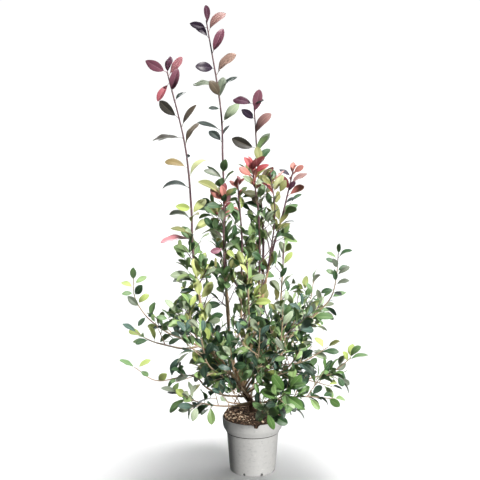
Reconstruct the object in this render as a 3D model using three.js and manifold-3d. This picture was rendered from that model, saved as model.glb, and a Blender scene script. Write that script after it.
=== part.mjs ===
// A young photinia shrub in a nursery pot: pot, root ball, a short leaning trunk, boughs and leafy shoots.
// Millimetres, +Z up, +Y to the back. The origin is the centre of the pot's flat underside.
import * as THREE from "three";
import { mergeVertices } from "three/addons/utils/BufferGeometryUtils.js";
import Module from "manifold-3d";

const wasm = await Module();
wasm.setup();

// ---- Driving sizes ----

const GAP = 0.3; // running clearance between neighbouring solids
const CLEAR = 0.5; // least room between leaves and twigs of different shoots
const POT = {
  height: 193,
  rimRadius: 105,
  collarFoot: 179, // height where the collar's straight side begins
  shoulderHeight: 143, // height where the collar has come in to the body
  shoulderRadius: 92.5,
  bodyRadius: 90,
  baseRadius: 79,
  wall: 2.6,
  floor: 3,
  facets: 28,
  drains: 8,
  drainRadius: 5,
};
const SOIL = { top: 213, proudRadius: 102, flatRadius: 84, facets: 24 };
const TRUNK = { footRadius: 11, tipRadius: 8.5, flare: 6, flareLength: 16, sides: 10, steps: 8 };
const BOUGH = { sides: 5, steps: 5 };
const TWIG = { footRadius: 2, tipRadius: 1.3, leafGap: 25, leafShare: 0.9, opening: 48, upturn: 0.22 };
// A leaf's shares: its width and edge lift of its length, the reach of its shoulder and its broadest place.
const LEAF = { width: 0.43, lift: 0.05, shoulder: 0.4, shoulderWidth: 0.8, broadest: 0.74 };
const ROOT_DEPTH = 4; // the last leaf's root lies this far back from its stem's end
const SPIRAL = THREE.MathUtils.degToRad(137.5); // turn from one leaf to the next
const STEM_STEP = 90; // length of one straight piece of a shoot's stem

const TRUNK_ROUTE = [[0, 0, SOIL.top + GAP], [-6, -3, 245], [-23, -8, 275], [-41, -12, 304]];

// Upright leaders and low side arms. `bare` and `until` are the shares of a limb where its leaves begin and
// end; with `bough` the bare part is a limb of its own. `leaf` and `twig` are lengths, and the side twigs
// stand on the limb up to the share `twigReach`.
const LEADER = {
  bare: 0.22, until: 1, radii: [4.2, 1.6], leaves: 15, leaf: 74, twigs: 2, twig: 85, twigReach: 0.5,
};
const ARM = {
  bare: 0.35, until: 1, radii: [4.2, 1.4], leaves: 9, leaf: 70, twigs: 3, twig: 95, twigReach: 0.85,
};

// Each limb leaves another one, `on`, at the share `at` of its length, and runs through its `via` points.
const LIMBS = [
  { ...LEADER, name: "left", on: "trunk", at: 1, bough: true, bare: 0.2, until: 0.54, radii: [6.2, 1.7],
    leaves: 19, leaf: 80, twigs: 4,
    via: [[-108, -35, 401], [-160, -50, 518], [-200, -50, 762], [-207, -50, 937], [-226, -55, 1138],
      [-282, -60, 1377]] },
  { ...LEADER, name: "right", on: "trunk", at: 1, bough: true, bare: 0.34, until: 0.82, radii: [6.4, 1.6],
    leaves: 18, leaf: 78, twigs: 2,
    via: [[-19, -5, 394], [20, 5, 540], [33, 8, 672], [34, 25, 844], [16, 45, 1070], [3, 60, 1276]] },
  { ...LEADER, name: "tall", on: "trunk", at: 0.93, bough: true, until: 0.57, radii: [5.6, 1.7],
    leaves: 16, leaf: 80, twigs: 3,
    via: [[-67, 22, 382], [-88, 60, 549], [-98, 115, 851], [-104, 135, 1074], [-112, 145, 1260],
      [-160, 150, 1552]] },
  { ...LEADER, name: "red_left", on: "tall", at: 0.16, leaves: 18,
    via: [[-84, -20, 580], [-97, -70, 760], [-98, -90, 969]] },
  { ...LEADER, name: "inner", on: "right", at: 0.12, leaves: 21,
    via: [[-40, -18, 560], [-37, -25, 800], [-51, -25, 998]] },
  { ...LEADER, name: "red_mid", on: "right", at: 0.25, leaves: 18,
    via: [[22, -35, 771], [17, -62, 914], [-5, -82, 1070]] },
  { ...LEADER, name: "front_right", on: "right", at: 0.3, bough: true, bare: 0.36, until: 0.8, leaves: 8,
    via: [[64, -15, 770], [96, -30, 890], [134, -42, 1057]] },
  { ...LEADER, name: "fork_right", on: "front_right", at: 0.22, bare: 0.2, radii: [3, 1.4],
    leaves: 9, twigs: 0,
    via: [[72, -62, 900], [55, -85, 1050]] },
  { ...LEADER, name: "low_right", on: "trunk", at: 0.8, bough: true, bare: 0.42, radii: [5, 1.5],
    leaves: 13,
    via: [[-15, 28, 396], [49, 60, 441], [92, 82, 540], [103, 85, 660], [109, 80, 789]] },
  { ...LEADER, name: "back", on: "tall", at: 0.1, leaves: 12, twigs: 3,
    via: [[-30, 80, 520], [0, 125, 690], [5, 140, 860]] },
  { ...LEADER, name: "front", on: "right", at: 0.06, leaves: 14, twigs: 3,
    via: [[-12, -75, 470], [-16, -130, 620], [-22, -150, 770]] },
  { ...ARM, name: "arm_right_high", on: "low_right", at: 0.3, bough: true, bare: 0.3, until: 0.5,
    leaves: 5, leaf: 64, twigs: 2, twigReach: 0.6,
    via: [[130, 72, 456], [205, 60, 528], [267, 50, 595], [287, 40, 666], [294, 35, 762]] },
  { ...ARM, name: "arm_left_high", on: "left", at: 0.12, bough: true, bare: 0.26, until: 0.5,
    leaves: 5, leaf: 62, twigs: 2, twigReach: 0.5,
    via: [[-217, 0, 458], [-297, 40, 481], [-368, 45, 536], [-407, 35, 605], [-411, 30, 675]] },
  { ...ARM, name: "arm_left_fork", on: "arm_left_high", at: 0.18, bare: 0.45, until: 0.8,
    leaves: 4, leaf: 62, twigs: 1,
    via: [[-235, -25, 440], [-302, -20, 452], [-350, -30, 469], [-399, -60, 506]] },
  { ...ARM, name: "arm_left_low", on: "trunk", at: 0.55, bare: 0.48, until: 0.7, leaves: 3, leaf: 56,
    twigs: 1,
    via: [[-95, -60, 285], [-156, -90, 320], [-205, -100, 366], [-321, -115, 352], [-396, -125, 401]] },
  { ...ARM, name: "arm_left_lowest", on: "trunk", at: 0.22, bare: 0.45, until: 0.8, leaves: 4, twigs: 2,
    via: [[-96, -90, 256], [-177, -140, 284], [-255, -180, 331]] },
  { ...ARM, name: "arm_left_mid", on: "left", at: 0.05, bare: 0.3,
    via: [[-95, -90, 390], [-125, -140, 430], [-150, -165, 500]] },
  { ...ARM, name: "arm_left_rise", on: "left", at: 0.16,
    via: [[-175, -80, 470], [-203, -105, 535], [-215, -115, 610]] },
  { ...ARM, name: "arm_right_rise", on: "right", at: 0.08,
    via: [[60, -40, 440], [125, -50, 510], [160, -45, 600]] },
  { ...ARM, name: "arm_right_mid", on: "trunk", at: 0.75, until: 0.9, leaves: 8,
    via: [[9, -90, 360], [83, -120, 404], [166, -120, 419], [250, -115, 468]] },
  { ...ARM, name: "arm_right_front", on: "trunk", at: 0.65,
    via: [[50, -90, 350], [120, -170, 420], [165, -205, 510]] },
  { ...ARM, name: "arm_right_low", on: "trunk", at: 0.45, until: 0.85, leaves: 8,
    via: [[61, 25, 282], [185, 20, 318], [279, 0, 353], [338, -10, 404]] },
  { ...ARM, name: "arm_right_lowest", on: "trunk", at: 0.2, until: 0.8, leaves: 7,
    via: [[75, -62, 268], [167, -112, 296], [273, -135, 296]] },
  { ...ARM, name: "arm_front_right", on: "trunk", at: 0.34, leaf: 72,
    via: [[50, -105, 275], [95, -190, 322], [125, -235, 372]] },
  { ...ARM, name: "arm_front_low", on: "trunk", at: 0.12, bare: 0.4, leaf: 70, twigs: 2,
    via: [[18, -110, 245], [34, -190, 262], [45, -255, 290]] },
  { ...ARM, name: "arm_front_left", on: "trunk", at: 0.68,
    via: [[-90, -120, 360], [-150, -215, 440], [-170, -255, 560]] },
  { ...ARM, name: "arm_front_foot", on: "trunk", at: 0.3,
    via: [[-40, -90, 265], [-85, -180, 300], [-110, -230, 350]] },
  { ...ARM, name: "arm_front_mid", on: "trunk", at: 0.5,
    via: [[-40, -110, 330], [-65, -200, 410], [-75, -235, 500]] },
  { ...ARM, name: "arm_front_rise", on: "trunk", at: 0.85,
    via: [[0, -110, 380], [15, -200, 460], [20, -235, 560]] },
  { ...ARM, name: "arm_front_high", on: "right", at: 0.02,
    via: [[40, -100, 400], [85, -200, 500], [95, -225, 640]] },
  { ...ARM, name: "arm_back_left", on: "trunk", at: 0.6,
    via: [[-120, 110, 340], [-215, 215, 450], [-250, 255, 610]] },
  { ...ARM, name: "arm_back", on: "trunk", at: 0.38,
    via: [[10, 130, 310], [25, 260, 400], [30, 320, 550]] },
  { ...ARM, name: "arm_back_right", on: "trunk", at: 0.62,
    via: [[90, 110, 370], [190, 200, 470], [225, 240, 630]] },
  { ...ARM, name: "arm_back_low", on: "trunk", at: 0.18,
    via: [[-55, 120, 255], [-120, 230, 290], [-165, 290, 350]] },
];

// Single leaves that stand out at the ends of shoots: share of the limb, compass way, rise, length and turn
// of the face. The way is 0 to the right and 90 to the back; angles are in degrees.
const OUTLINE_LEAVES = {
  left: [
    [1, 200, 25, 78, 55], [0.99, 80, 45, 70, 65], [0.985, 340, 50, 78, 35], [0.94, 285, 55, 78, 5],
    [0.96, 235, -35, 76, 35], [0.91, 30, 35, 48, 55], [0.86, 165, 40, 88, 45], [0.83, 340, 55, 96, 60],
    [0.8, 190, -5, 104, 65], [0.77, 20, 60, 96, 50], [0.74, 290, 15, 40, 60], [0.71, 170, 15, 82, 45],
    [0.68, 15, 45, 84, 70], [0.65, 190, 0, 92, 70], [0.59, 230, 10, 78, 35], [0.57, 30, 40, 76, 60],
    [0.555, 195, 15, 80, 65],
  ],
  tall: [
    [0.99, 260, 55, 70, 50], [0.98, 215, -5, 74, 65], [0.95, 160, 45, 74, 60], [0.965, 15, 50, 90, 65],
    [0.91, 330, 65, 86, 0], [0.87, 220, 0, 76, 60], [0.85, 345, 45, 104, 55], [0.82, 170, 5, 88, 70],
    [0.81, 15, 35, 84, 70], [0.795, 255, 35, 76, 30], [0.785, 85, 55, 74, 30], [0.76, 200, 5, 46, 45],
    [0.72, 340, 50, 94, 60], [0.7, 190, 20, 94, 75], [0.685, 30, 55, 50, 60], [0.67, 135, 30, 78, 30],
    [0.59, 280, 40, 78, 15], [0.57, 195, 25, 78, 50],
  ],
  right: [
    [0.98, 290, 65, 74, 40], [1, 160, 10, 74, 55], [0.99, 320, 20, 46, 50], [0.94, 245, 25, 72, 10],
    [0.88, 340, 55, 96, 60], [0.84, 190, 20, 92, 70], [0.83, 20, 50, 74, 10], [0.855, 280, -45, 70, 10],
  ],
  front_right: [
    [0.99, 320, 40, 60, 20], [0.94, 145, 40, 50, 50], [0.95, 90, 45, 60, 50], [0.89, 15, 35, 72, 60],
    [0.85, 245, 40, 60, 35], [0.81, 310, 35, 50, 50],
  ],
  red_left: [[1, 195, 15, 62, 0], [0.99, 250, 40, 60, 40], [0.96, 170, -10, 94, 60], [1, 320, 35, 60, 50]],
  red_mid: [
    [0.92, 225, 35, 66, 35], [0.94, 110, 55, 64, 45], [0.99, 345, 35, 72, 50], [0.95, 350, 20, 68, 35],
  ],
  arm_right_high: [
    [1, 275, 55, 50, 45], [0.96, 345, 30, 58, 65], [0.95, 155, 30, 48, 60], [0.89, 235, 50, 50, 15],
    [0.86, 25, 25, 46, 60], [0.79, 250, 65, 52, 0], [0.76, 350, 20, 54, 55], [0.7, 310, 0, 44, 55],
    [0.56, 145, 45, 46, 45], [0.47, 245, 75, 60, 0], [0.45, 350, 5, 80, 55], [0.41, 165, 30, 76, 70],
  ],
  arm_left_high: [
    [0.98, 275, 55, 50, 0], [0.95, 50, 20, 50, 35], [0.91, 135, 15, 44, 55], [0.85, 295, 45, 50, 15],
    [0.74, 210, 45, 50, 15], [0.67, 230, -35, 50, 35], [0.61, 55, 75, 68, 45], [0.54, 325, 70, 52, 50],
    [0.38, 90, 80, 70, 0],
  ],
  arm_left_fork: [[0.95, 195, 35, 64, 70], [0.83, 165, 20, 58, 35], [0.72, 215, -5, 58, 55]],
  arm_left_low: [
    [1, 195, 30, 62, 60], [0.98, 15, 30, 56, 55], [0.95, 315, -10, 44, 45], [0.8, 320, 35, 56, 15],
    [0.69, 30, 65, 74, 45], [0.55, 210, -10, 56, 35],
  ],
  arm_left_lowest: [
    [0.97, 190, 20, 62, 70], [0.93, 145, 0, 60, 60], [0.89, 235, 35, 60, 40], [0.83, 20, 50, 60, 60],
    [0.84, 195, -35, 78, 60],
  ],
  arm_right_mid: [[0.99, 320, 30, 60, 60], [0.96, 120, 30, 60, 40], [0.93, 350, 0, 60, 40]],
  arm_right_low: [
    [0.97, 350, 15, 72, 70], [0.95, 245, 45, 62, 50], [0.99, 75, 40, 62, 40], [1, 330, 50, 62, 50],
    [0.84, 40, -45, 60, 65],
  ],
  arm_right_lowest: [
    [0.93, 310, -15, 58, 20], [1, 40, -15, 56, 65], [0.86, 50, 0, 58, 50], [0.72, 325, -40, 58, 20],
  ],
};

const material = (color, roughness) => new THREE.MeshStandardMaterial({ color, roughness, metalness: 0 });
const MATERIALS = {
  pot: material(0xb9bcba, 0.55),
  soil: material(0x5a3d2a, 1),
  bark: material(0x6b4a38, 0.8),
  leaf: material(0x3f6b35, 0.4),
  young: material(0x8c4a48, 0.4),
};
const YOUNG = ["red_left", "red_mid", "front_right", "fork_right"]; // shoots that are mostly red

// ---- Solids and meshes ----

// A closed geometry as a solid for joining and cutting.
function solidOf(geometry) {
  const bare = geometry.clone();
  bare.deleteAttribute("normal");
  bare.deleteAttribute("uv");
  const merged = mergeVertices(bare, 1e-4);
  return new wasm.Manifold(new wasm.Mesh({
    numProp: 3,
    vertProperties: new Float32Array(merged.attributes.position.array),
    triVerts: new Uint32Array(merged.index.array),
  }));
}

function solidFrom(points, index) {
  const geometry = new THREE.BufferGeometry().setFromPoints(points);
  geometry.setIndex(index);
  return solidOf(geometry);
}

// The largest body of a solid: a loose scrap is dropped and a sealed hollow is filled.
function largest(solid) {
  return solid.decompose().reduce((a, b) => (a.volume() > b.volume() ? a : b));
}

const cut = (solid, others) => largest(wasm.Manifold.difference([solid, ...others]));

function meshOf(name, solid, look) {
  const { vertProperties, triVerts } = solid.getMesh();
  const geometry = new THREE.BufferGeometry();
  geometry.setAttribute("position", new THREE.BufferAttribute(new Float32Array(vertProperties), 3));
  geometry.setIndex(new THREE.BufferAttribute(new Uint32Array(triVerts), 1));
  geometry.computeVertexNormals();
  const mesh = new THREE.Mesh(geometry, look);
  mesh.name = name;
  return mesh;
}

// A closed solid of revolution about +Z from [radius, height] pairs that start and end on the axis.
function turned(profile, facets) {
  const points = profile.map(([radius, height]) => new THREE.Vector2(radius, height));
  return solidOf(new THREE.LatheGeometry(points, facets).rotateX(Math.PI / 2));
}

// ---- Pot and root ball ----

// Outer radius of the pot's body at a height.
function bodyRadiusAt(height) {
  return THREE.MathUtils.lerp(POT.baseRadius, POT.bodyRadius, height / POT.shoulderHeight);
}

function potSolid() {
  const [foot, shoulder, rim] = [POT.collarFoot, POT.shoulderHeight, POT.rimRadius];
  const swell = [[POT.shoulderRadius, shoulder], [rim - 4, shoulder + 14], [rim - 1, foot]];
  const shell = turned([
    [0, 0],
    [POT.baseRadius - 3, 0],
    [POT.baseRadius, 4],
    [bodyRadiusAt(shoulder), shoulder - 0.5],
    ...swell,
    [rim, POT.height - 1],
    [rim - 1, POT.height],
    [rim - POT.wall - 1, POT.height],
    ...swell.map(([radius, height]) => [radius - POT.wall, height + POT.wall * 0.4]).reverse(),
    [bodyRadiusAt(shoulder) - POT.wall, shoulder - 1],
    [bodyRadiusAt(POT.floor) - POT.wall, POT.floor],
    [0, POT.floor],
  ], POT.facets);
  const drains = Array.from({ length: POT.drains }, (_, i) => {
    const bore = new THREE.CylinderGeometry(POT.drainRadius, POT.drainRadius, 14, 6)
      .rotateZ(Math.PI / 2)
      .translate(POT.baseRadius - 1, 0, POT.drainRadius)
      .rotateZ(((i + 0.5) * 2 * Math.PI) / POT.drains);
    return solidOf(bore);
  });
  return cut(shell, drains);
}

// The root ball fills the pot and stands proud of the rim, its edge lying on the rim.
function soilSolid() {
  const neck = POT.shoulderRadius - POT.wall - GAP - 1.5;
  return turned([
    [0, POT.floor + GAP],
    [bodyRadiusAt(POT.floor) - POT.wall - GAP - 0.5, POT.floor + GAP],
    [bodyRadiusAt(POT.shoulderHeight) - POT.wall - GAP - 0.5, POT.shoulderHeight - 2],
    [neck, POT.shoulderHeight + 4],
    [POT.rimRadius - 4 - POT.wall - 2, POT.collarFoot - 20],
    [POT.rimRadius - POT.wall - 3, POT.collarFoot],
    [POT.rimRadius - POT.wall - 3, POT.height + GAP],
    [SOIL.proudRadius + 2, POT.height + GAP],
    [SOIL.proudRadius, POT.height + 8],
    [SOIL.proudRadius - 4, SOIL.top - 4],
    [SOIL.flatRadius, SOIL.top],
    [0, SOIL.top],
  ], SOIL.facets);
}

// ---- Limbs ----

// Evenly spaced stations along a smooth curve: a place, the direction ahead and two directions across it.
function stationsAlong(points, steps) {
  const curve = new THREE.CatmullRomCurve3(points, false, "catmullrom", 0.5);
  const places = curve.getSpacedPoints(steps);
  const across = new THREE.Vector3(1, 0, 0);
  return places.map((place, i) => {
    const ahead = places[Math.min(i + 1, steps)].clone().sub(places[Math.max(i - 1, 0)]).normalize();
    across.addScaledVector(ahead, -across.dot(ahead)).normalize();
    return { place, ahead, across: across.clone(), over: ahead.clone().cross(across) };
  });
}

// The station at a share of a limb's length.
function stationAt(stations, share) {
  const x = THREE.MathUtils.clamp(share, 0, 1) * (stations.length - 1);
  const i = Math.min(Math.floor(x), stations.length - 2);
  const blend = (key) => stations[i][key].clone().lerp(stations[i + 1][key], x - i);
  return {
    place: blend("place"),
    ahead: blend("ahead").normalize(),
    across: blend("across").normalize(),
    over: blend("over").normalize(),
  };
}

// The direction across a station at an angle round it.
function outward({ across, over }, angle) {
  return across.clone().multiplyScalar(Math.cos(angle)).addScaledVector(over, Math.sin(angle));
}

const lengthOf = (stations) => stations[0].place.distanceTo(stations[1].place) * (stations.length - 1);

// The stations from one share of a limb's length to another.
function stretch(stations, from, to, steps) {
  return Array.from({ length: steps + 1 }, (_, i) => stationAt(stations, from + ((to - from) * i) / steps));
}

// A closed tube with flat ends through stations, its radius given at each share of the way.
function tube(stations, radiusAt, sides) {
  const last = stations.length - 1;
  const ring = (station, radius) => Array.from({ length: sides }, (_, k) =>
    station.place.clone().addScaledVector(outward(station, (k * 2 * Math.PI) / sides), radius));
  const points = stations.flatMap((station, i) => ring(station, radiusAt(i / last)));
  const index = [];
  for (let i = 0; i < last; i++)
    for (let k = 0; k < sides; k++) {
      const [a, b] = [i * sides + k, i * sides + ((k + 1) % sides)];
      index.push(a, b, b + sides, a, b + sides, a + sides);
    }
  const end = last * sides;
  for (let k = 1; k < sides - 1; k++)
    index.push(0, k + 1, k, end, end + k, end + k + 1);
  return solidFrom(points, index);
}

const taper = ([foot, tip]) => (share) => THREE.MathUtils.lerp(foot, tip, share);

// The trunk's stations, the first one level for the flat cut at the soil.
function trunkStations() {
  const stations = stationsAlong(TRUNK_ROUTE.map((p) => new THREE.Vector3(...p)), TRUNK.steps);
  Object.assign(stations[0], {
    ahead: new THREE.Vector3(0, 0, 1),
    across: new THREE.Vector3(1, 0, 0),
    over: new THREE.Vector3(0, 1, 0),
  });
  return stations;
}

function trunkRadiusAt(share, length) {
  const straight = THREE.MathUtils.lerp(TRUNK.footRadius, TRUNK.tipRadius, share);
  return straight + TRUNK.flare * Math.exp((-share * length) / TRUNK.flareLength);
}

// ---- Leaves and twigs ----

// Numbers from 0 to 1 that follow from a seed.
function dice(seed) {
  let state = seed;
  return () => {
    state = (state * 48271) % 2147483647;
    return state / 2147483647;
  };
}

// A leaf is a shallow boat of eight faces: its root, its tip and four corners on its lifted edges.
function leafSolid({ root, along, face, length }) {
  const side = face.clone().cross(along);
  const corner = (reach, across, lift) => root.clone()
    .addScaledVector(along, reach * length)
    .addScaledVector(side, (across * LEAF.width * length) / 2)
    .addScaledVector(face, lift * length);
  return solidFrom([
    corner(0, 0, 0),
    corner(LEAF.shoulder, -LEAF.shoulderWidth, LEAF.lift),
    corner(LEAF.shoulder, LEAF.shoulderWidth, LEAF.lift),
    corner(LEAF.broadest, -1, LEAF.lift),
    corner(LEAF.broadest, 1, LEAF.lift),
    corner(1, 0, 0),
  ], [0, 1, 2, 1, 3, 2, 3, 4, 2, 3, 5, 4, 0, 5, 1, 1, 5, 3, 0, 2, 5, 5, 2, 4]);
}

// Where a leaf's root lies: on the stem's centre line, well inside its end.
function rootAt(stations, share) {
  return stationAt(stations, Math.min(share, 1 - ROOT_DEPTH / lengthOf(stations)));
}

// A leaf at a share of a stem, turned round it by the spiral and opened from it, its face up.
function leafOn(stations, share, { turn, length, roll, opening }) {
  const station = rootAt(stations, share);
  const out = outward(station, turn);
  const angle = THREE.MathUtils.degToRad(opening);
  const along = station.ahead.clone().multiplyScalar(Math.cos(angle)).addScaledVector(out, Math.sin(angle));
  along.z += 0.1;
  along.normalize();
  const face = new THREE.Vector3(0, 0, 1).addScaledVector(out, -0.6);
  face.addScaledVector(along, -face.dot(along)).normalize().applyAxisAngle(along, roll);
  return { root: station.place, along, face, length };
}

// The leaves of one stem between two shares of its length, by the seeded rule.
function leavesAlong(stations, { count, size, phase, from, until, roll }) {
  return Array.from({ length: count }, (_, i) => {
    const part = (i + 1) / count;
    const share = from + (until - from) * (1 - (1 - part) ** 1.15);
    const turn = phase + i * SPIRAL + (roll() - 0.5) * 0.6;
    const length = size * (0.82 + 0.26 * roll()) * (1 - 0.22 * share ** 3);
    const side = roll() < 0.5 ? -1 : 1;
    const lean = side * (0.35 + 0.85 * roll());
    const opening = THREE.MathUtils.lerp(70, 32, share) + (roll() - 0.5) * 24;
    return leafOn(stations, share, { turn, length, roll: lean, opening });
  });
}

// A single outline leaf, its face to the front before it is turned to the sky.
function outlineLeaf(stations, [share, way, rise, length, turn]) {
  const [w, r, t] = [way, rise, turn].map(THREE.MathUtils.degToRad);
  const along = new THREE.Vector3(Math.cos(r) * Math.cos(w), Math.cos(r) * Math.sin(w), Math.sin(r));
  const front = new THREE.Vector3(0, -1, 0);
  front.addScaledVector(along, -front.dot(along)).normalize();
  const up = along.clone().cross(front);
  if (up.z < 0) up.negate();
  const face = front.multiplyScalar(Math.cos(t)).addScaledVector(up, Math.sin(t));
  return { root: rootAt(stations, share).place, along, face, length };
}

// A straight side twig that leaves its stem at an angle, a little upward.
function twigOn(stations, share, turn, length) {
  const station = stationAt(stations, share);
  const angle = THREE.MathUtils.degToRad(TWIG.opening);
  const way = station.ahead.clone().multiplyScalar(Math.cos(angle))
    .addScaledVector(outward(station, turn), Math.sin(angle));
  const end = station.place.clone().addScaledVector(way, length);
  end.z += TWIG.upturn * length;
  return stationsAlong([station.place, end], 1);
}

// ---- The plant ----

const placed = []; // every solid that later twigs and leaves keep clear of, with its owner and box

function place(owner, solid) {
  placed.push({ owner, solid, box: solid.boundingBox() });
}

function boxesMeet(a, b, room) {
  return [0, 1, 2].every((i) => a.min[i] - room < b.max[i] && b.min[i] - room < a.max[i]);
}

// Whether a twig or leaf is clear of every solid of other owners, and of its own mass's earlier leaves.
function fits(owner, solid, ownLeaves) {
  const box = solid.boundingBox();
  const near = (other, room) =>
    boxesMeet(box, other.box, room) && solid.minGap(other.solid, room * 2) < room;
  return !placed.some((other) => other.owner !== owner && near(other, CLEAR)) &&
    !ownLeaves.some((other) => near(other, 0.05));
}

const plant = new THREE.Group();
const grown = {}; // the stations, length and radius of every limb
const swollen = []; // the trunk and boughs a gap larger, to cut what grows from them

function addLimb(name, stations, radiusAt, sides) {
  const solid = cut(tube(stations, radiusAt, sides), swollen);
  swollen.push(tube(stations, (share) => radiusAt(share) + GAP * 1.15, sides));
  plant.add(meshOf(name, solid, MATERIALS.bark));
  place(name, solid);
}

function addPotAndTrunk() {
  const [pot, soil] = [potSolid(), soilSolid()];
  plant.add(meshOf("pot", pot, MATERIALS.pot), meshOf("root_ball", soil, MATERIALS.soil));
  place("pot", pot);
  place("root_ball", soil);
  const stations = trunkStations();
  const length = lengthOf(stations);
  grown.trunk = { stations, length };
  addLimb("trunk", stations, (share) => trunkRadiusAt(share, length), TRUNK.sides);
}

// Lays out a limb, and adds its bare part where that is a bough.
function addBough(limb) {
  const foot = stationAt(grown[limb.on].stations, limb.at).place;
  const stations = stationsAlong([foot, ...limb.via.map((p) => new THREE.Vector3(...p))], 48);
  const radiusAt = taper(limb.radii);
  grown[limb.name] = { stations, length: lengthOf(stations), radiusAt };
  if (!limb.bough) return;
  const bough = stretch(stations, 0, limb.bare, BOUGH.steps);
  addLimb(`bough_${limb.name}`, bough, (share) => radiusAt(share * limb.bare), BOUGH.sides);
}

// The stem of a limb's mass starts a gap beyond its bough's tip, or at its parent's bark.
function stemOf(limb) {
  const { stations, length, radiusAt } = grown[limb.name];
  const foot = limb.bough ? limb.bare + GAP / length : 0;
  const stem = stretch(stations, foot, 1, Math.ceil((length * (1 - foot)) / STEM_STEP));
  const whole = tube(stem, (share) => radiusAt(foot + (1 - foot) * share), 3);
  const solid = limb.bough ? whole : cut(whole, swollen);
  place(`foliage_${limb.name}`, solid);
  return { solid, stem, shareOn: (share) => (share - foot) / (1 - foot) };
}

// A mass's side twigs, each with its own dice so that leaving one out changes no other.
function twigsOf(limb, { stem, shareOn }, seed, phase) {
  const zone = limb.twigReach - limb.bare;
  return Array.from({ length: limb.twigs }, (_, k) => {
    const roll = dice(seed + 31 * (k + 1));
    const share = limb.bare + (zone * (k + roll())) / limb.twigs;
    const turn = phase + (2 * k + 1) * SPIRAL;
    const twig = twigOn(stem, shareOn(share), turn, limb.twig * (0.75 + 0.35 * roll()));
    return { twig, roll, solid: tube(twig, taper([TWIG.footRadius, TWIG.tipRadius]), 3) };
  });
}

// The outline leaves of a mass that touch no other mass. They may touch each other, as they are fused.
function outlineLeavesOf(limb, { stem, shareOn }) {
  const owner = `foliage_${limb.name}`;
  const leaves = (OUTLINE_LEAVES[limb.name] ?? [])
    .map(([share, ...rest]) => leafSolid(outlineLeaf(stem, [shareOn(share), ...rest])))
    .filter((solid) => fits(owner, solid, []));
  leaves.forEach((solid) => place(owner, solid));
  return leaves;
}

// The leaves that follow the rule on a mass's stem and on its twigs.
function ruledLeavesOf(limb, { stem, shareOn }, seed, phase, twigs) {
  const onStem = leavesAlong(stem, {
    count: limb.leaves, size: limb.leaf, phase, from: shareOn(limb.bare + 0.01), until: shareOn(limb.until),
    roll: dice(seed),
  });
  const onTwigs = twigs.flatMap(({ twig, roll }) => leavesAlong(twig, {
    count: Math.round(lengthOf(twig) / TWIG.leafGap), size: limb.leaf * TWIG.leafShare,
    phase, from: 0.2, until: 1, roll,
  }));
  return [...onStem, ...onTwigs].map(leafSolid);
}

// Adds a mass's twigs and ruled leaves, leaving out those that would touch, and fuses it.
function addMass(limb, stem, outline, i) {
  const owner = `foliage_${limb.name}`;
  const seed = 1009 + 271 * i;
  const phase = i * SPIRAL;
  const twigs = twigsOf(limb, stem, seed, phase).filter(({ solid }) => fits(owner, solid, []));
  const leaves = outline.map((solid) => ({ solid, box: solid.boundingBox() }));
  for (const solid of ruledLeavesOf(limb, stem, seed, phase, twigs))
    if (fits(owner, solid, leaves)) leaves.push({ solid, box: solid.boundingBox() });
  const parts = [...twigs, ...leaves].map(({ solid }) => solid);
  parts.forEach((solid) => place(owner, solid));
  const fused = largest(wasm.Manifold.union([stem.solid, ...parts])).asOriginal().simplify(0.01);
  plant.add(meshOf(owner, fused, YOUNG.includes(limb.name) ? MATERIALS.young : MATERIALS.leaf));
  return leaves.length;
}

addPotAndTrunk();
LIMBS.forEach(addBough);
const stems = LIMBS.map(stemOf);
const outlines = LIMBS.map((limb, i) => outlineLeavesOf(limb, stems[i]));
const leafCounts = LIMBS.map((limb, i) => addMass(limb, stems[i], outlines[i], i));
console.log(`${leafCounts.reduce((a, b) => a + b)} leaves`);

export default plant;
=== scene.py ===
"""A young photinia shrub in a nursery pot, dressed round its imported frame.

Lengths are millimetres until a mesh is made, +Z is up and +Y is to the back, as in the frame. The limbs and
the rule that grows twigs and leaves on them are those of the part, and are carried on here to finer twigs.
"""
import math
from collections import namedtuple
from types import SimpleNamespace as Sizes

import bpy
import numpy as np
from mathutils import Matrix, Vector, noise
from mathutils.bvhtree import BVHTree


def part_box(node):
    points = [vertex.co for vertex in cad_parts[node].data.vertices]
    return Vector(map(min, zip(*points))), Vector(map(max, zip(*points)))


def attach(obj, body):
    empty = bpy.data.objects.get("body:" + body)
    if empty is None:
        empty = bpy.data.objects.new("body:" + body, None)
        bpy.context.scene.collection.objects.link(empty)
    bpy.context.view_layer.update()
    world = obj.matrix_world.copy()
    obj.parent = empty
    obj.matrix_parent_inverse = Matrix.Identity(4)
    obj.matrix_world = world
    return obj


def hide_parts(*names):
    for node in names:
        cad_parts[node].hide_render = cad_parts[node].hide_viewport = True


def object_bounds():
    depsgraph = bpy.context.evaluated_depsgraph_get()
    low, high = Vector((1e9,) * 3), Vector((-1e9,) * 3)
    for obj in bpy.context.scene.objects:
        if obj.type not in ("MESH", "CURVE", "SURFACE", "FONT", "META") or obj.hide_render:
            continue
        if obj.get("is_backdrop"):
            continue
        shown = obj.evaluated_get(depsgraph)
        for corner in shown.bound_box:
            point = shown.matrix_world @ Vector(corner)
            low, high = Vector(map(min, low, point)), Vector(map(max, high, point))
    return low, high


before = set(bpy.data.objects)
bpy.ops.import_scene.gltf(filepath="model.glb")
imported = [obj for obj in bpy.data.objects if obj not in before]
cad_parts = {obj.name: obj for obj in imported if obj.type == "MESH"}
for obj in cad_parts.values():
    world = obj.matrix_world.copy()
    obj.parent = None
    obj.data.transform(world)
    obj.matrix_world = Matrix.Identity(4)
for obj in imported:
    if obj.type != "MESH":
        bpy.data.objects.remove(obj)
cad_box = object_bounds()

MM = 0.001  # metres in a millimetre
UP = np.array([0.0, 0.0, 1.0])

# ---- Sizes of the pot, the root ball and the trunk ----

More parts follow.
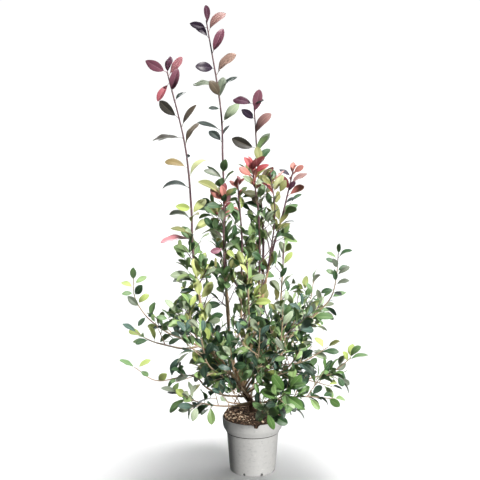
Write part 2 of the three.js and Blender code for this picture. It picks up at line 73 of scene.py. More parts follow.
POT = Sizes(
    height=193, rim_radius=105, collar_foot=179, shoulder_height=143, shoulder_radius=92.5,
    body_radius=90, base_radius=79, wall=2.6, floor=3, drains=8, drain_radius=5, facets=144,
    hollow=1.2,  # how far the underside stands up inside its ring
    groove=3.6,  # height of the groove under the collar, whose faces are painted dark as shade
)
SOIL = Sizes(top=213, proud_radius=102, flat_radius=84, sunk=16)
TRUNK = Sizes(foot_radius=11, tip_radius=8.5, flare=6, flare_length=16)
TRUNK_ROUTE = [(0, 0, 213.3), (-6, -3, 245), (-23, -8, 275), (-41, -12, 304)]

# ---- The growth rule's sizes ----

SPIRAL = math.radians(137.5)  # turn from one leaf to the next
LIMB_STEPS = 48  # stretches along a limb's route
STEM_STEP = 8  # length of a stretch of a mass's stem
BARK_STEP = 2  # length of a stretch of a bough's bark

# In these tables a pair is the least value and how much may be added to it.
TWIG = Sizes(foot_radius=1.9, tip_radius=1.0, leaf_gap=25, leaf_share=0.9, opening=48, upturn=0.22,
            length=(0.75, 0.35), first_leaf=0.2)
SPRIG = Sizes(foot_radius=1.3, tip_radius=0.8, gap=31, leaves=3, leaf_share=0.95, opening=55,
             size=40, length=(0.7, 0.6), first_leaf=0.35)
ROOT_DEPTH = 4  # the last leaf's root lies this far back from its stem's end

# How a ruled leaf stands: crowded toward its stem's end, scattered about the spiral, shorter and less open
# toward the end, lifted a little and with its face turned in. A tuft's leaves stand at the stem's tip.
RULED = Sizes(crowding=1.15, scatter=0.6, length=(0.82, 0.26), shortening=0.22, lean=(0.35, 0.85),
             opening=70, closing=38, spread=24, lift=0.1, turned_in=0.6)
TUFT = Sizes(reach=0.16, length=(0.7, 0.3), shortening=0.25, lean=1.6, opening=62, closing=34)

# Seeds of the rule's random numbers: the first mass's, the step to the next mass's, and what is added for
# its colours, side twigs, tuft, leaf shapes and sprigs.
SEED = Sizes(first=1009, mass=271, paint=7, twig=31, tuft=41, shape=97, sprigs=7919, carrier=613, sprig=37)

# Upright leaders and low side arms. `bare` and `until` are the shares of a limb where its leaves begin and
# end; with `bough` the bare part is a limb of its own. `leaf` and `twig` are lengths, and the side twigs
# stand on the limb up to the share `twig_reach`.
LEADER = dict(
    bough=False, bare=0.22, until=1, radii=(4.6, 2.1), leaves=15, leaf=74, twigs=2, twig=85, twig_reach=0.5,
)
ARM = dict(
    bough=False, bare=0.35, until=1, radii=(3.9, 1.3), leaves=9, leaf=70, twigs=3, twig=95, twig_reach=0.85,
)

# The share of finer twigs on arms that stay open.
AIRY = {"arm_right_high": 0.3, "arm_left_high": 0.3, "arm_left_fork": 0.3, "arm_left_low": 0.3,
        "arm_right_low": 0.6, "arm_right_mid": 0.7}


def leader(name, on, at, via, **own):
    return dict(LEADER, name=name, on=on, at=at, via=via, **own)


def arm(name, on, at, via, **own):
    return dict(ARM, name="arm_" + name, on=on, at=at, via=via, **own)

# Each limb: its name, the one that it leaves, at which share of that one's length, the points that it runs
# through, and what it has of its own.
LIMBS = [
    leader("left", "trunk", 1, [(-108, -35, 401), (-160, -50, 518), (-200, -50, 762), (-207, -50, 937),
           (-226, -55, 1138), (-282, -60, 1377)], bough=True, bare=0.2, until=0.54, radii=(5.8, 2.1),
           leaves=19, leaf=80, twigs=4),
    leader("right", "trunk", 1, [(-19, -5, 394), (20, 5, 540), (33, 8, 672), (34, 25, 844), (16, 45, 1070),
           (3, 60, 1276)], bough=True, bare=0.34, until=0.82, radii=(6.0, 2.1), leaves=18, leaf=78),
    leader("tall", "trunk", 0.93, [(-67, 22, 382), (-88, 60, 549), (-98, 115, 851), (-104, 135, 1074),
           (-112, 145, 1260), (-160, 150, 1552)], bough=True, until=0.57, radii=(5.6, 2.1), leaves=16,
           leaf=80, twigs=3),
    leader("red_left", "tall", 0.16, [(-84, -20, 580), (-97, -70, 760), (-98, -90, 969)], leaves=18),
    leader("inner", "right", 0.12, [(-40, -18, 560), (-37, -25, 800), (-51, -25, 998)], leaves=21),
    leader("red_mid", "right", 0.25, [(22, -35, 771), (17, -62, 914), (-5, -82, 1070)], leaves=18),
    leader("front_right", "right", 0.3, [(64, -15, 770), (96, -30, 890), (134, -42, 1057)], bough=True,
           bare=0.36, until=0.8, leaves=8),
    leader("fork_right", "front_right", 0.22, [(72, -62, 900), (55, -85, 1050)], bare=0.2, radii=(3, 1.4),
           leaves=9, twigs=0),
    leader("low_right", "trunk", 0.8, [(-15, 28, 396), (49, 60, 441), (92, 82, 540), (103, 85, 660),
           (109, 80, 789)], bough=True, bare=0.42, radii=(4.8, 1.8), leaves=13),
    leader("back", "tall", 0.1, [(-30, 80, 520), (0, 125, 690), (5, 140, 860)], leaves=12, twigs=3),
    leader("front", "right", 0.06, [(-12, -75, 470), (-16, -130, 620), (-22, -150, 770)], leaves=14,
           twigs=3),
    arm("right_high", "low_right", 0.3, [(130, 72, 456), (205, 60, 528), (267, 50, 595), (287, 40, 666),
        (294, 35, 762)], bough=True, bare=0.3, until=0.5, leaves=5, leaf=64, twigs=2, twig_reach=0.6),
    arm("left_high", "left", 0.12, [(-217, 0, 458), (-297, 40, 481), (-368, 45, 536), (-407, 35, 605),
        (-411, 30, 675)], bough=True, bare=0.26, until=0.5, leaves=5, leaf=62, twigs=2, twig_reach=0.5),
    arm("left_fork", "arm_left_high", 0.18, [(-235, -25, 440), (-302, -20, 452), (-350, -30, 469),
        (-399, -60, 506)], bare=0.45, until=0.8, leaves=4, leaf=62, twigs=1),
    arm("left_low", "trunk", 0.55, [(-95, -60, 285), (-156, -90, 320), (-205, -100, 366), (-321, -115, 352),
        (-396, -125, 401)], bare=0.48, until=0.7, leaves=3, leaf=56, twigs=1),
    arm("left_lowest", "trunk", 0.22, [(-96, -90, 256), (-177, -140, 284), (-255, -180, 331)], bare=0.45,
        until=0.8, leaves=4, twigs=2),
    arm("left_mid", "left", 0.05, [(-95, -90, 390), (-125, -140, 430), (-150, -165, 500)], bare=0.3),
    arm("left_rise", "left", 0.16, [(-175, -80, 470), (-203, -105, 535), (-215, -115, 610)]),
    arm("right_rise", "right", 0.08, [(60, -40, 440), (125, -50, 510), (160, -45, 600)]),
    arm("right_mid", "trunk", 0.75, [(9, -90, 360), (83, -120, 404), (166, -120, 419), (250, -115, 468)],
        until=0.9, leaves=8),
    arm("right_front", "trunk", 0.65, [(50, -90, 350), (120, -170, 420), (165, -205, 510)]),
    arm("right_low", "trunk", 0.45, [(61, 25, 282), (185, 20, 318), (279, 0, 353), (338, -10, 404)],
        until=0.85, leaves=8),
    arm("right_lowest", "trunk", 0.2, [(75, -62, 268), (167, -112, 296), (273, -135, 296)], until=0.8,
        leaves=7),
    arm("front_right", "trunk", 0.34, [(50, -105, 275), (95, -190, 322), (125, -235, 372)], leaf=72),
    arm("front_low", "trunk", 0.12, [(18, -110, 245), (34, -190, 262), (45, -255, 290)], bare=0.4, twigs=2),
    arm("front_left", "trunk", 0.68, [(-90, -120, 360), (-150, -215, 440), (-170, -255, 560)]),
    arm("front_foot", "trunk", 0.3, [(-40, -90, 265), (-85, -180, 300), (-110, -230, 350)]),
    arm("front_mid", "trunk", 0.5, [(-40, -110, 330), (-65, -200, 410), (-75, -235, 500)]),
    arm("front_rise", "trunk", 0.85, [(0, -110, 380), (15, -200, 460), (20, -235, 560)]),
    arm("front_high", "right", 0.02, [(40, -100, 400), (85, -200, 500), (95, -225, 640)]),
    arm("back_left", "trunk", 0.6, [(-120, 110, 340), (-215, 215, 450), (-250, 255, 610)]),
    arm("back", "trunk", 0.38, [(10, 130, 310), (25, 260, 400), (30, 320, 550)]),
    arm("back_right", "trunk", 0.62, [(90, 110, 370), (190, 200, 470), (225, 240, 630)]),
    arm("back_low", "trunk", 0.18, [(-55, 120, 255), (-120, 230, 290), (-165, 290, 350)]),
]

# Leaves placed one by one, most of them at the ends of shoots: share of the limb, compass way, rise, length,
# turn of the face, and colour. The way is 0 to the right and 90 to the back; angles are in degrees.
OUTLINE_LEAVES = {
    "left": [
        (1, 195, 28, 82, -6, "plum"), (0.99, 80, 60, 70, 40, "wine"), (0.985, 335, 50, 82, 25, "blush"),
        (0.94, 300, 60, 86, 5, "plum"), (0.968, 205, -55, 76, 20, "rose"), (0.91, 30, 35, 52, 55, "slate"),
        (0.86, 165, 40, 88, -8, "umber"), (0.83, 340, 55, 96, 60, "bronze"),
        (0.8, 190, -5, 104, 62, "umber"), (0.77, 20, 60, 96, 50, "bronze"),
        (0.74, 290, 15, 40, 60, "slate"), (0.71, 170, 15, 82, 45, "ochre"), (0.68, 15, 45, 84, 50, "pale"),
        (0.65, 190, 0, 92, 70, "slate"), (0.59, 230, 10, 78, 12, "lime"), (0.57, 20, 45, 72, 25, "lemon"),
        (0.555, 195, 15, 80, 65, "sage"), (0.505, 184, 22, 78, 66, "olive"),
        (0.5, 191, -6, 108, 80, "blush"), (0.37, 215, 80, 80, 25, "lemon"), (0.37, 20, 40, 70, -5, "lemon"),
        (0.315, 200, 76, 76, 22, "lemon"), (0.31, 10, 56, 76, -15, "lemon"),
        (0.375, 192, 10, 92, 58, "soft"), (0.36, 182, 6, 84, 70, "deep"), (0.335, 190, 0, 64, 58, "shade"),
        (0.3, 186, 14, 80, 52, "mid"), (0.27, 192, 36, 74, 40, "blue"), (0.4, 15, 60, 72, -10, "lime"),
        (0.235, 210, 78, 64, 25, "lemon"),
    ],
    "tall": [
        (0.985, 260, 68, 74, 50, "wine"), (0.98, 200, 12, 66, -5, "night"), (0.95, 160, 48, 74, 5, "night"),
        (0.965, 12, 48, 92, 42, "dusk"), (0.91, 330, 62, 96, 0, "plum"), (0.87, 215, 5, 80, 12, "night"),
        (0.85, 345, 45, 104, 55, "tan"), (0.82, 170, 5, 88, 60, "sage"), (0.81, 15, 35, 84, 70, "slate"),
        (0.795, 240, 40, 84, 20, "bronze"), (0.785, 60, 70, 84, 20, "sage"),
        (0.76, 200, 5, 46, 45, "slate"), (0.72, 5, 50, 94, 35, "soft"), (0.7, 190, 20, 94, 75, "slate"),
        (0.685, 30, 55, 50, 60, "slate"), (0.67, 135, 30, 78, 30, "slate"), (0.59, 280, 40, 78, 15, "mid"),
        (0.57, 195, 25, 78, 50, "sage"),
    ],
    "right": [
        (0.96, 300, 68, 88, 10, "mauve"), (0.99, 165, 12, 76, 25, "wine"), (0.99, 320, 20, 46, 50, "slate"),
        (0.94, 225, 28, 74, 10, "night"), (0.88, 340, 55, 96, 50, "dusk"),
        (0.84, 185, 22, 92, -10, "umber"), (0.83, 20, 52, 78, 35, "sage"),
        (0.855, 280, -45, 74, 10, "olive"),
    ],
    "front": [
        (0.14, 285, -50, 70, 10, "deep"), (0.2, 320, -30, 72, 20, "mid"), (0.26, 235, -35, 66, 15, "blue"),
        (0.3, 345, 0, 64, 30, "bright"),
    ],
    "front_right": [
        (0.97, 340, 34, 46, 25, "salmon"), (0.94, 160, 30, 50, 50, "night"),
        (0.96, 75, 62, 46, 20, "salmon"), (0.89, 15, 30, 70, 62, "dusk"), (0.85, 215, 52, 62, 20, "brick"),
        (0.83, 330, 55, 48, 30, "wine"), (0.74, 15, 35, 44, 60, "slate"), (0.62, 25, 40, 84, 55, "mid"),
    ],
    "red_left": [
        (0.97, 195, 42, 62, 10, "salmon"), (1, 250, 62, 50, 20, "salmon"), (1, 175, 32, 100, 48, "olive"),
        (1, 330, 40, 50, 35, "olive"), (0.99, 80, 62, 56, 20, "brick"), (0.655, 200, -8, 48, 10, "mauve"),
        (0.97, 280, 35, 52, 10, "deep"), (0.98, 150, 40, 50, 40, "brick"), (0.93, 205, 10, 62, 40, "deep"),
    ],
    "inner": [
        (0.97, 350, -12, 78, 45, "olive"), (0.98, 190, 45, 42, 55, "salmon"),
        (1, 330, 50, 42, 50, "salmon"), (1, 100, 70, 40, 40, "blush"), (0.93, 10, 5, 72, 50, "deep"),
        (0.9, 20, -15, 84, 50, "deep"),
    ],
    "red_mid": [
        (0.93, 205, 32, 62, 25, "salmon"), (0.96, 170, 60, 58, 20, "red"), (0.97, 340, 48, 64, 40, "brick"),
        (0.95, 350, 30, 62, 35, "red"), (0.97, 300, 60, 48, 15, "brick"), (0.9, 15, 50, 70, 40, "lime"),
    ],
    "fork_right": [
        (0.9, 20, 42, 60, 72, "salmon"), (0.86, 190, 40, 60, 30, "olive"), (0.8, 20, 60, 70, 20, "pale"),
    ],
    "arm_right_high": [
        (1, 275, 55, 50, 45, "mid"), (0.96, 345, 30, 58, 65, "deep"), (0.95, 155, 30, 48, 60, "bright"),
        (0.89, 235, 50, 50, 15, "sage"), (0.86, 25, 25, 46, 60, "deep"), (0.79, 250, 65, 52, 0, "deep"),
        (0.76, 350, 20, 54, 55, "sage"), (0.7, 310, 0, 44, 55, "slate"), (0.56, 145, 45, 46, 45, "deep"),
        (0.47, 245, 75, 60, 0, "sage"), (0.45, 350, 5, 80, 55, "mid"), (0.41, 165, 30, 76, 70, "mid"),
        (0.92, 190, 25, 46, 30, "deep"), (0.83, 200, 30, 46, 40, "mid"), (0.73, 180, -15, 46, 30, "deep"),
        (0.83, 5, 35, 56, 45, "sage"), (0.66, 20, 15, 62, 50, "mid"),
    ],
    "arm_left_high": [
        (0.98, 275, 60, 60, 0, "mid"), (0.95, 30, 25, 56, 30, "bright"), (0.92, 160, 20, 50, 45, "lime"),
        (0.86, 315, 45, 62, 15, "deep"), (0.76, 200, 45, 60, 15, "sage"), (0.67, 230, -35, 50, 35, "deep"),
        (0.79, 350, 40, 54, 20, "lime"), (0.88, 200, 0, 44, 40, "mid"), (0.61, 55, 75, 68, 45, "mid"),
        (0.54, 325, 70, 52, 50, "olive"), (0.38, 90, 80, 70, 0, "blue"),
    ],
    "arm_left_fork": [
        (0.95, 195, 35, 64, 70, "blue"), (0.83, 165, 20, 58, 35, "lime"), (0.72, 215, -5, 58, 55, "deep"),
    ],
    "arm_left_low": [
        (1, 195, 30, 62, 60, "mid"), (0.98, 15, 30, 56, 55, "lime"), (0.95, 315, -10, 44, 45, "mid"),
        (0.8, 320, 35, 56, 15, "lime"), (0.69, 30, 65, 74, 45, "blue"), (0.55, 210, -10, 56, 35, "sage"),
    ],
    "arm_left_lowest": [
        (0.97, 190, 20, 62, 70, "sage"), (0.93, 145, 0, 60, 60, "slate"), (0.89, 235, 35, 60, 40, "lime"),
        (0.83, 20, 50, 60, 60, "olive"), (0.84, 195, -35, 78, 60, "mid"), (0.57, 280, -72, 66, 0, "bright"),
    ],
    "arm_right_mid": [
        (0.99, 320, 30, 60, 60, "olive"), (0.96, 120, 30, 60, 40, "lime"), (0.93, 350, 0, 60, 40, "deep"),
    ],
    "arm_right_low": [
        (0.97, 350, 15, 72, 70, "mid"), (0.95, 245, 45, 62, 50, "lime"), (0.99, 75, 40, 62, 40, "lime"),
        (1, 330, 50, 62, 50, "mid"), (0.84, 40, -45, 60, 65, "deep"),
    ],
    "arm_front_mid": [
        (0.85, 200, 30, 62, 30, "mid"), (0.92, 350, 20, 66, 20, "bright"), (1, 250, 72, 62, 20, "deep"),
        (0.78, 320, 15, 58, 20, "deep"), (0.72, 195, 20, 56, 30, "blue"),
    ],
    "arm_left_mid": [
        (0.62, 195, 25, 62, 30, "mid"), (0.75, 320, 35, 60, 20, "deep"), (0.86, 185, 30, 62, 40, "bright"),
        (0.97, 250, 70, 60, 20, "lime"), (0.92, 350, 35, 60, 10, "deep"),
    ],
    "arm_front_right": [
        (0.84, 215, 52, 88, 0, "grass"), (0.9, 330, 50, 76, 10, "grass"), (0.82, 275, -30, 70, 0, "mid"),
        (0.86, 165, 8, 74, 30, "mid"), (0.78, 235, -45, 76, 5, "grass"), (0.8, 325, -25, 78, 15, "grass"),
        (0.88, 15, 20, 70, 25, "deep"), (0.52, 215, -38, 88, 20, "soft"), (1, 80, 60, 66, 10, "bright"),
    ],
    "arm_front_low": [
        (1, 300, 15, 70, 15, "grass"), (0.98, 150, 20, 60, 20, "mid"), (0.97, 5, 5, 84, 25, "grass"),
        (0.95, 310, -55, 62, 0, "grass"), (0.9, 340, -22, 80, 10, "deep"), (0.86, 20, 15, 80, 30, "grass"),
    ],
    "arm_right_lowest": [
        (0.93, 310, -15, 58, 20, "grass"), (1, 40, -15, 56, 65, "bright"), (0.86, 50, 0, 58, 50, "deep"),
        (0.72, 325, -40, 58, 20, "bright"),
    ],
}

# Young leaves crowded round the tip of a shoot: how many, their longest length, and their colours.
TUFTS = {
    "red_left": (12, 44, {"salmon": 3, "brick": 3, "olive": 3, "deep": 2}),
    "inner": (7, 36, {"salmon": 1}),
    "red_mid": (10, 52, {"red": 3, "salmon": 3, "brick": 4}),
    "fork_right": (4, 42, {"brick": 1, "salmon": 1, "olive": 1}),
    "front_right": (5, 34, {"salmon": 3, "brick": 1}),
}

# ---- Colours ----

# The upper face of each kind of leaf, and its paler underside and rib, as they look in soft daylight.
LEAF_COLOURS = {
    "plum": ("#7a4c5c", "#966c7a"),
    "mauve": ("#8e5c6c", "#a07884"),
    "rose": ("#a05660", "#b08084"),
    "blush": ("#c08088", "#c6989a"),
    "wine": ("#503040", "#786070"),
    "night": ("#2c2232", "#4a3e4c"),
    "dusk": ("#8a6864", "#9e8276"),
    "tan": ("#a08478", "#ac9484"),
    "bronze": ("#62584a", "#7c705e"),
    "umber": ("#3c3a34", "#5e5a50"),
    "sage": ("#667060", "#808874"),
    "slate": ("#323c38", "#525e56"),
    "salmon": ("#bc7c72", "#c69286"),
    "red": ("#a0484c", "#b06c64"),
    "brick": ("#74383a", "#94605a"),
    "ochre": ("#8a7a52", "#a08e62"),
    "olive": ("#7e8250", "#969662"),
    "pale": ("#a8ae80", "#b2b68c"),
    "lime": ("#a2b266", "#acb878"),
    "lemon": ("#b4bc7c", "#b8be88"),
    "bright": ("#7e9a60", "#94a876"),
    "grass": ("#577a40", "#78965e"),
    "mid": ("#5f7d50", "#7f9968"),
    "deep": ("#3b583a", "#638058"),
    "blue": ("#40584e", "#667c70"),
    # A painted sheen: pale grey-green leaves that stand in for the sky's reflection on glossy leaves.
    "soft": ("#95a488", "#a7b298"),
    # A painted shade: near-black green leaves that stand in for the shadow between leaves.
    "shade": ("#24362a", "#46604a"),
}

# How the colours of ruled leaves are dealt out, as shares.
OLD_GREENS = {"deep": 4, "shade": 5, "mid": 5, "blue": 2, "bright": 4, "soft": 1, "lime": 2}
FRONT_GREENS = {"grass": 7, "deep": 4, "shade": 4, "mid": 3, "blue": 2, "soft": 2}
ARM_TIPS = {"mid": 4, "bright": 1, "soft": 5, "deep": 3, "blue": 3, "sage": 2}
LEADER_GREENS = {"mid": 5, "deep": 3, "olive": 2, "lime": 1, "bright": 3, "soft": 3}
SUNNY = {"lime": 2, "bright": 3, "mid": 4, "lemon": 1, "deep": 2, "olive": 1, "soft": 2}
DARK_GREENS = {"deep": 4, "mid": 4, "olive": 2, "slate": 1, "bright": 2}
BRONZED = {"olive": 4, "bronze": 1, "deep": 4, "mid": 4, "soft": 2}
REDS = {"salmon": 4, "red": 3, "brick": 3, "rose": 1}

# The trunk's bark is darker than the boughs' as painted shade: its two darkest colours stand in for the
# shade round its foot under the leaves. The twigs' wood is plain.
BARK = dict(pale="#ecd2b2", tan="#ccaa86", mid="#b09276", dark="#745b4a", twig="#a8927a", shoot="#6c5256",
            foot="#33261f", foot_shade="#5a4536")
COMPOST = dict(dark="#26201c", mid="#5c4a3e", loam="#372d27", tan="#a88c74", pale="#dcc6ac")
# The last pot colour is a painted shade: the dark line of shadow in the groove under the collar.
POT_COLOURS = dict(plain="#ababaa", worn="#9a9b9b", scuff="#c2c2bf", groove_shade="#585856")
COMPOST_STOPS = [(0.32, "dark"), (0.5, "loam"), (0.66, "mid"), (0.8, "tan")]
POT_STOPS = [(0.28, "worn"), (0.44, "plain"), (0.62, "plain"), (0.8, "scuff")]


def linear(colour):
    """A #rrggbb colour as Blender's linear RGBA."""
    values = [int(colour[i:i + 2], 16) / 255 for i in (1, 3, 5)]
    return (*(v / 12.92 if v <= 0.04045 else ((v + 0.055) / 1.055) ** 2.4 for v in values), 1)


# ---- Routes ----

Station = namedtuple("Station", "place ahead across over")


def unit(v):
    return v / np.linalg.norm(v)


def spline(points, steps):
    """Evenly spaced places along a Catmull-Rom curve through the points."""
    p = np.array(points, float)
    p = np.vstack([2 * p[0] - p[1], p, 2 * p[-1] - p[-2]])
    spans = len(points) - 1
    fine = 200
    t = np.linspace(0, spans, fine + 1)

    def at(t):
        i = np.minimum(t.astype(int), spans - 1)
        w = (t - i)[:, None]
        a, b, c, d = p[i], p[i + 1], p[i + 2], p[i + 3]
        start, end = (c - a) / 2, (d - b) / 2
        return b + start * w + (3 * (c - b) - 2 * start - end) * w**2 + (2 * (b - c) + start + end) * w**3

    walked = np.concatenate([[0], np.cumsum(np.linalg.norm(np.diff(at(t), axis=0), axis=1))])
    return at(np.interp(np.linspace(0, walked[-1], steps + 1), walked, t))


class Route:
    """Stations along a limb: a place, the direction ahead and two directions across it at each."""

    def __init__(self, place, ahead, across):
        self.place, self.ahead, self.across = place, ahead, across
        self.over = np.cross(ahead, across)
        self.length = np.linalg.norm(place[1] - place[0]) * (len(place) - 1)

    @classmethod
    def through(cls, points, steps):
        place = spline(points, steps)
        padded = np.vstack([place[0], place, place[-1]])
        ahead = np.array([unit(v) for v in padded[2:] - padded[:-2]])
        across = [np.array([1.0, 0.0, 0.0])]
        for way in ahead:
            across.append(unit(across[-1] - way * (across[-1] @ way)))
        return cls(place, ahead, np.array(across[1:]))

    def at(self, share):
        x = min(max(share, 0), 1) * (len(self.place) - 1)
        i = min(int(x), len(self.place) - 2)
        w = x - i
        place = self.place[i] * (1 - w) + self.place[i + 1] * w
        ways = [unit(a[i] * (1 - w) + a[i + 1] * w) for a in (self.ahead, self.across, self.over)]
        return Station(place, *ways)

    def stretch(self, start, end, steps):
        """The part of the route from one share of its length to another."""
        found = [self.at(start + (end - start) * i / steps) for i in range(steps + 1)]
        return Route(*(np.array([getattr(s, key) for s in found]) for key in ("place", "ahead", "across")))


def outward(station, angle):
    """The direction across a station at an angle round it."""
    return station.across * math.cos(angle) + station.over * math.sin(angle)


def dice(seed):
    """Numbers from 0 to 1 that follow from a seed, as in the part's rule."""
    state = [seed]

    def roll():
        state[0] = state[0] * 48271 % 2147483647
        return state[0] / 2147483647

    return roll


def vary(roll, least, more):
    """The least value and a random share of what may be added."""
    return least + more * roll()


def pick(weights, roll):
    """A key of the weights, by its share."""
    left = roll() * sum(weights.values())
    for key, weight in weights.items():
        left -= weight
        if left <= 0:
            return key
    return key


# ---- Growing leaves and twigs ----

Leaf = namedtuple("Leaf", "root along face length colour")
Shoot = namedtuple("Shoot", "route foot tip")


def root_at(route, share):
    return route.at(min(share, 1 - ROOT_DEPTH / route.length))


def leaf_on(route, share, turn, length, lean, opening, colour):
    """A leaf at a share of a stem, turned round it and opened from it, its face leaning from upright."""
    station = root_at(route, share)
    out = outward(station, turn)
    angle = math.radians(opening)
    along = unit(station.ahead * math.cos(angle) + out * math.sin(angle) + RULED.lift * UP)
    face = UP - RULED.turned_in * out
    face = unit(face - along * (face @ along))
    side = np.cross(along, face)
    return Leaf(station.place, along, face * math.cos(lean) + side * math.sin(lean), length, colour)


def leaves_along(route, count, size, phase, start, until, roll, colour_at):
    """The leaves of one stem between two shares of its length, by the seeded rule."""
    made = []
    for i in range(count):
        part = (i + 1) / count
        share = start + (until - start) * (1 - (1 - part) ** RULED.crowding)
        turn = phase + i * SPIRAL + (roll() - 0.5) * RULED.scatter
        length = size * vary(roll, *RULED.length) * (1 - RULED.shortening * share**3)
        side = -1 if roll() < 0.5 else 1
        lean = side * vary(roll, *RULED.lean)
        opening = RULED.opening - RULED.closing * share + (roll() - 0.5) * RULED.spread
        made.append(leaf_on(route, share, turn, length, lean, opening, colour_at(share)))
    return made


def outline_leaf(route, share, way, rise, length, turn, colour):
    """A single outline leaf, its face to the front before it is turned to the sky."""
    w, r, t = (math.radians(angle) for angle in (way, rise, turn))
    along = np.array([math.cos(r) * math.cos(w), math.cos(r) * math.sin(w), math.sin(r)])
    front = np.array([0.0, -1.0, 0.0])
    front = unit(front - along * (front @ along))
    up = np.cross(along, front)
    up = -up if up[2] < 0 else up
    return Leaf(root_at(route, share).place, along, front * math.cos(t) + up * math.sin(t), length, colour)


def twig_on(route, share, turn, length, opening):
    """A straight side twig that leaves its stem at an angle, a little upward."""
    station = route.at(share)
    angle = math.radians(opening)
    way = station.ahead * math.cos(angle) + outward(station, turn) * math.sin(angle)
    end = station.place + way * length + UP * TWIG.upturn * length
    return Route.through([station.place, end], 4)


# The colours of a mass's ruled leaves: up to the first share, up to the second share, and beyond.
MASS_COLOURS = {
    "left": (0.3, OLD_GREENS, 0.62, SUNNY, LEADER_GREENS),
    "tall": (0.3, OLD_GREENS, 0.6, LEADER_GREENS, LEADER_GREENS),
    "right": (0.45, OLD_GREENS, 0.65, LEADER_GREENS, BRONZED),
    "red_left": (0.4, LEADER_GREENS, 0.93, BRONZED, REDS),
    "inner": (0.5, LEADER_GREENS, 0.93, LEADER_GREENS, REDS),
    "red_mid": (0.3, LEADER_GREENS, 0.86, BRONZED, REDS),
    "front_right": (0.5, LEADER_GREENS, 0.8, DARK_GREENS, REDS),
    "fork_right": (0.3, BRONZED, 0.7, DARK_GREENS, REDS),
    "arm_left_rise": (0.5, OLD_GREENS, 0.7, SUNNY, SUNNY),
}
for short_leader in ("low_right", "back", "front"):
    MASS_COLOURS[short_leader] = (0.5, OLD_GREENS, 0.8, LEADER_GREENS, SUNNY)
for front_arm in ("arm_front_right", "arm_front_low", "arm_right_lowest"):
    MASS_COLOURS[front_arm] = (1, FRONT_GREENS, 1, FRONT_GREENS, FRONT_GREENS)
ARM_COLOURS = (0.5, OLD_GREENS, 0.8, OLD_GREENS, ARM_TIPS)


class Crowd:
    """What is already placed, so that a new leaf that would cut through it is left out."""

    def __init__(self):
        self.low, self.high, self.trees = [], [], []

    def near(self, low, high):
        if not self.trees:
            return []
        meets = (np.array(self.low) < high).all(1) & (np.array(self.high) > low).all(1)
        return [self.trees[i] for i in np.flatnonzero(meets)]

    def try_adding(self, points, faces, must_fit=True):
        """Adds a shape and says so, unless it has to fit and cuts through another."""
        low, high = points.min(0), points.max(0)
        tree = BVHTree.FromPolygons(points.tolist(), faces)
        if must_fit and any(tree.overlap(other) for other in self.near(low, high)):
            return False
        self.low.append(low)
        self.high.append(high)
        self.trees.append(tree)
        return True


def blade_outline(leaf):
    """A leaf's blade as four triangles, without the stalk."""
    side = np.cross(leaf.face, leaf.along)
    corners = [(0.2, 0), (0.5, -0.17), (0.5, 0.17), (0.78, -0.2), (0.78, 0.2), (1, 0)]
    points = [leaf.root + (leaf.along * reach + side * across) * leaf.length for reach, across in corners]
    return np.array(points), [(0, 1, 2), (1, 3, 4), (1, 4, 2), (3, 5, 4)]


def tube_outline(route, radius):
    """A thin three-sided tube along a route, for the test of what touches."""
    points = swept(route, np.full((len(route.place), 1), radius), 3)
    return points, [(i, i + 1, i + 3) for i in range(len(points) - 3)]


# The photograph's view: where the eye is, the camera's lean from straight down in degrees, its lens and
# sensor, and the picture's width in pixels.
VIEW = Sizes(eye=(-44, -3600, 1350), lean=81.5, lens=80.4, sensor=36, width=480)

# The place over the front left of the compost where few leaves grow, as lowest and highest corners.
OPEN_PLACE = ((-130, -400, 0), (14, 20, 318))

# Lines in the view that leaves keep off: where from, where to and how far, in the photograph's pixels, and
# how far back the leaves are that still count. The left bough shows along the first four, the compost in the
# next, three light leaves of the left leader along the last ones, and white between stems in the others.
ALL = 400  # further back than any leaf
OPEN_LINES = [
    ((212, 352), (222, 361), 3.5, -45), ((222, 361), (237, 374), 4, -30), ((237, 374), (243, 388), 4, -10),
    ((243, 388), (252, 400), 4, -5), ((229, 412), (254, 417), 8, 20), ((229, 397), (240, 398), 4, ALL),
    ((203, 243), (213, 254), 4, ALL), ((245, 198), (255, 206), 3.5, ALL), ((242, 214), (243, 226), 2.5, ALL),
    ((267, 251), (276, 233), 4, ALL), ((274, 268), (280, 280), 4, ALL), ((211, 283), (219, 295), 3.5, ALL),
    ((230, 285), (238, 300), 3, ALL), ((284, 198), (292, 205), 3.5, ALL), ((144, 348), (168, 357), 5, ALL),
    ((314, 334), (322, 346), 4, ALL), ((200, 284), (196, 266), 4.5, -52), ((203, 299), (199, 285), 4.5, -52),
    ((205, 300), (213, 287), 4, -52),
]


def seen(place):
    """Where a place shows in the view, in pixels."""
    x, y, z = np.asarray(place) - VIEW.eye
    lean = math.radians(VIEW.lean)
    above = z * math.sin(lean) + y * math.cos(lean)
    away = y * math.sin(lean) - z * math.cos(lean)
    half = VIEW.width / 2
    scale = VIEW.lens / VIEW.sensor * VIEW.width / away
    return np.array([half + x * scale, half - above * scale])


def is_open(place):
    """Whether a place is one that stays free of leaves."""
    if all(a < x < b for a, x, b in zip(OPEN_PLACE[0], place, OPEN_PLACE[1])):
        return True
    spot = seen(place)
    for start, end, reach, back in OPEN_LINES:
        run = np.subtract(end, start)
        share = min(max((spot - start) @ run / (run @ run), 0), 1)
        if place[1] < back and np.linalg.norm(spot - start - run * share) < reach:
            return True
    return False


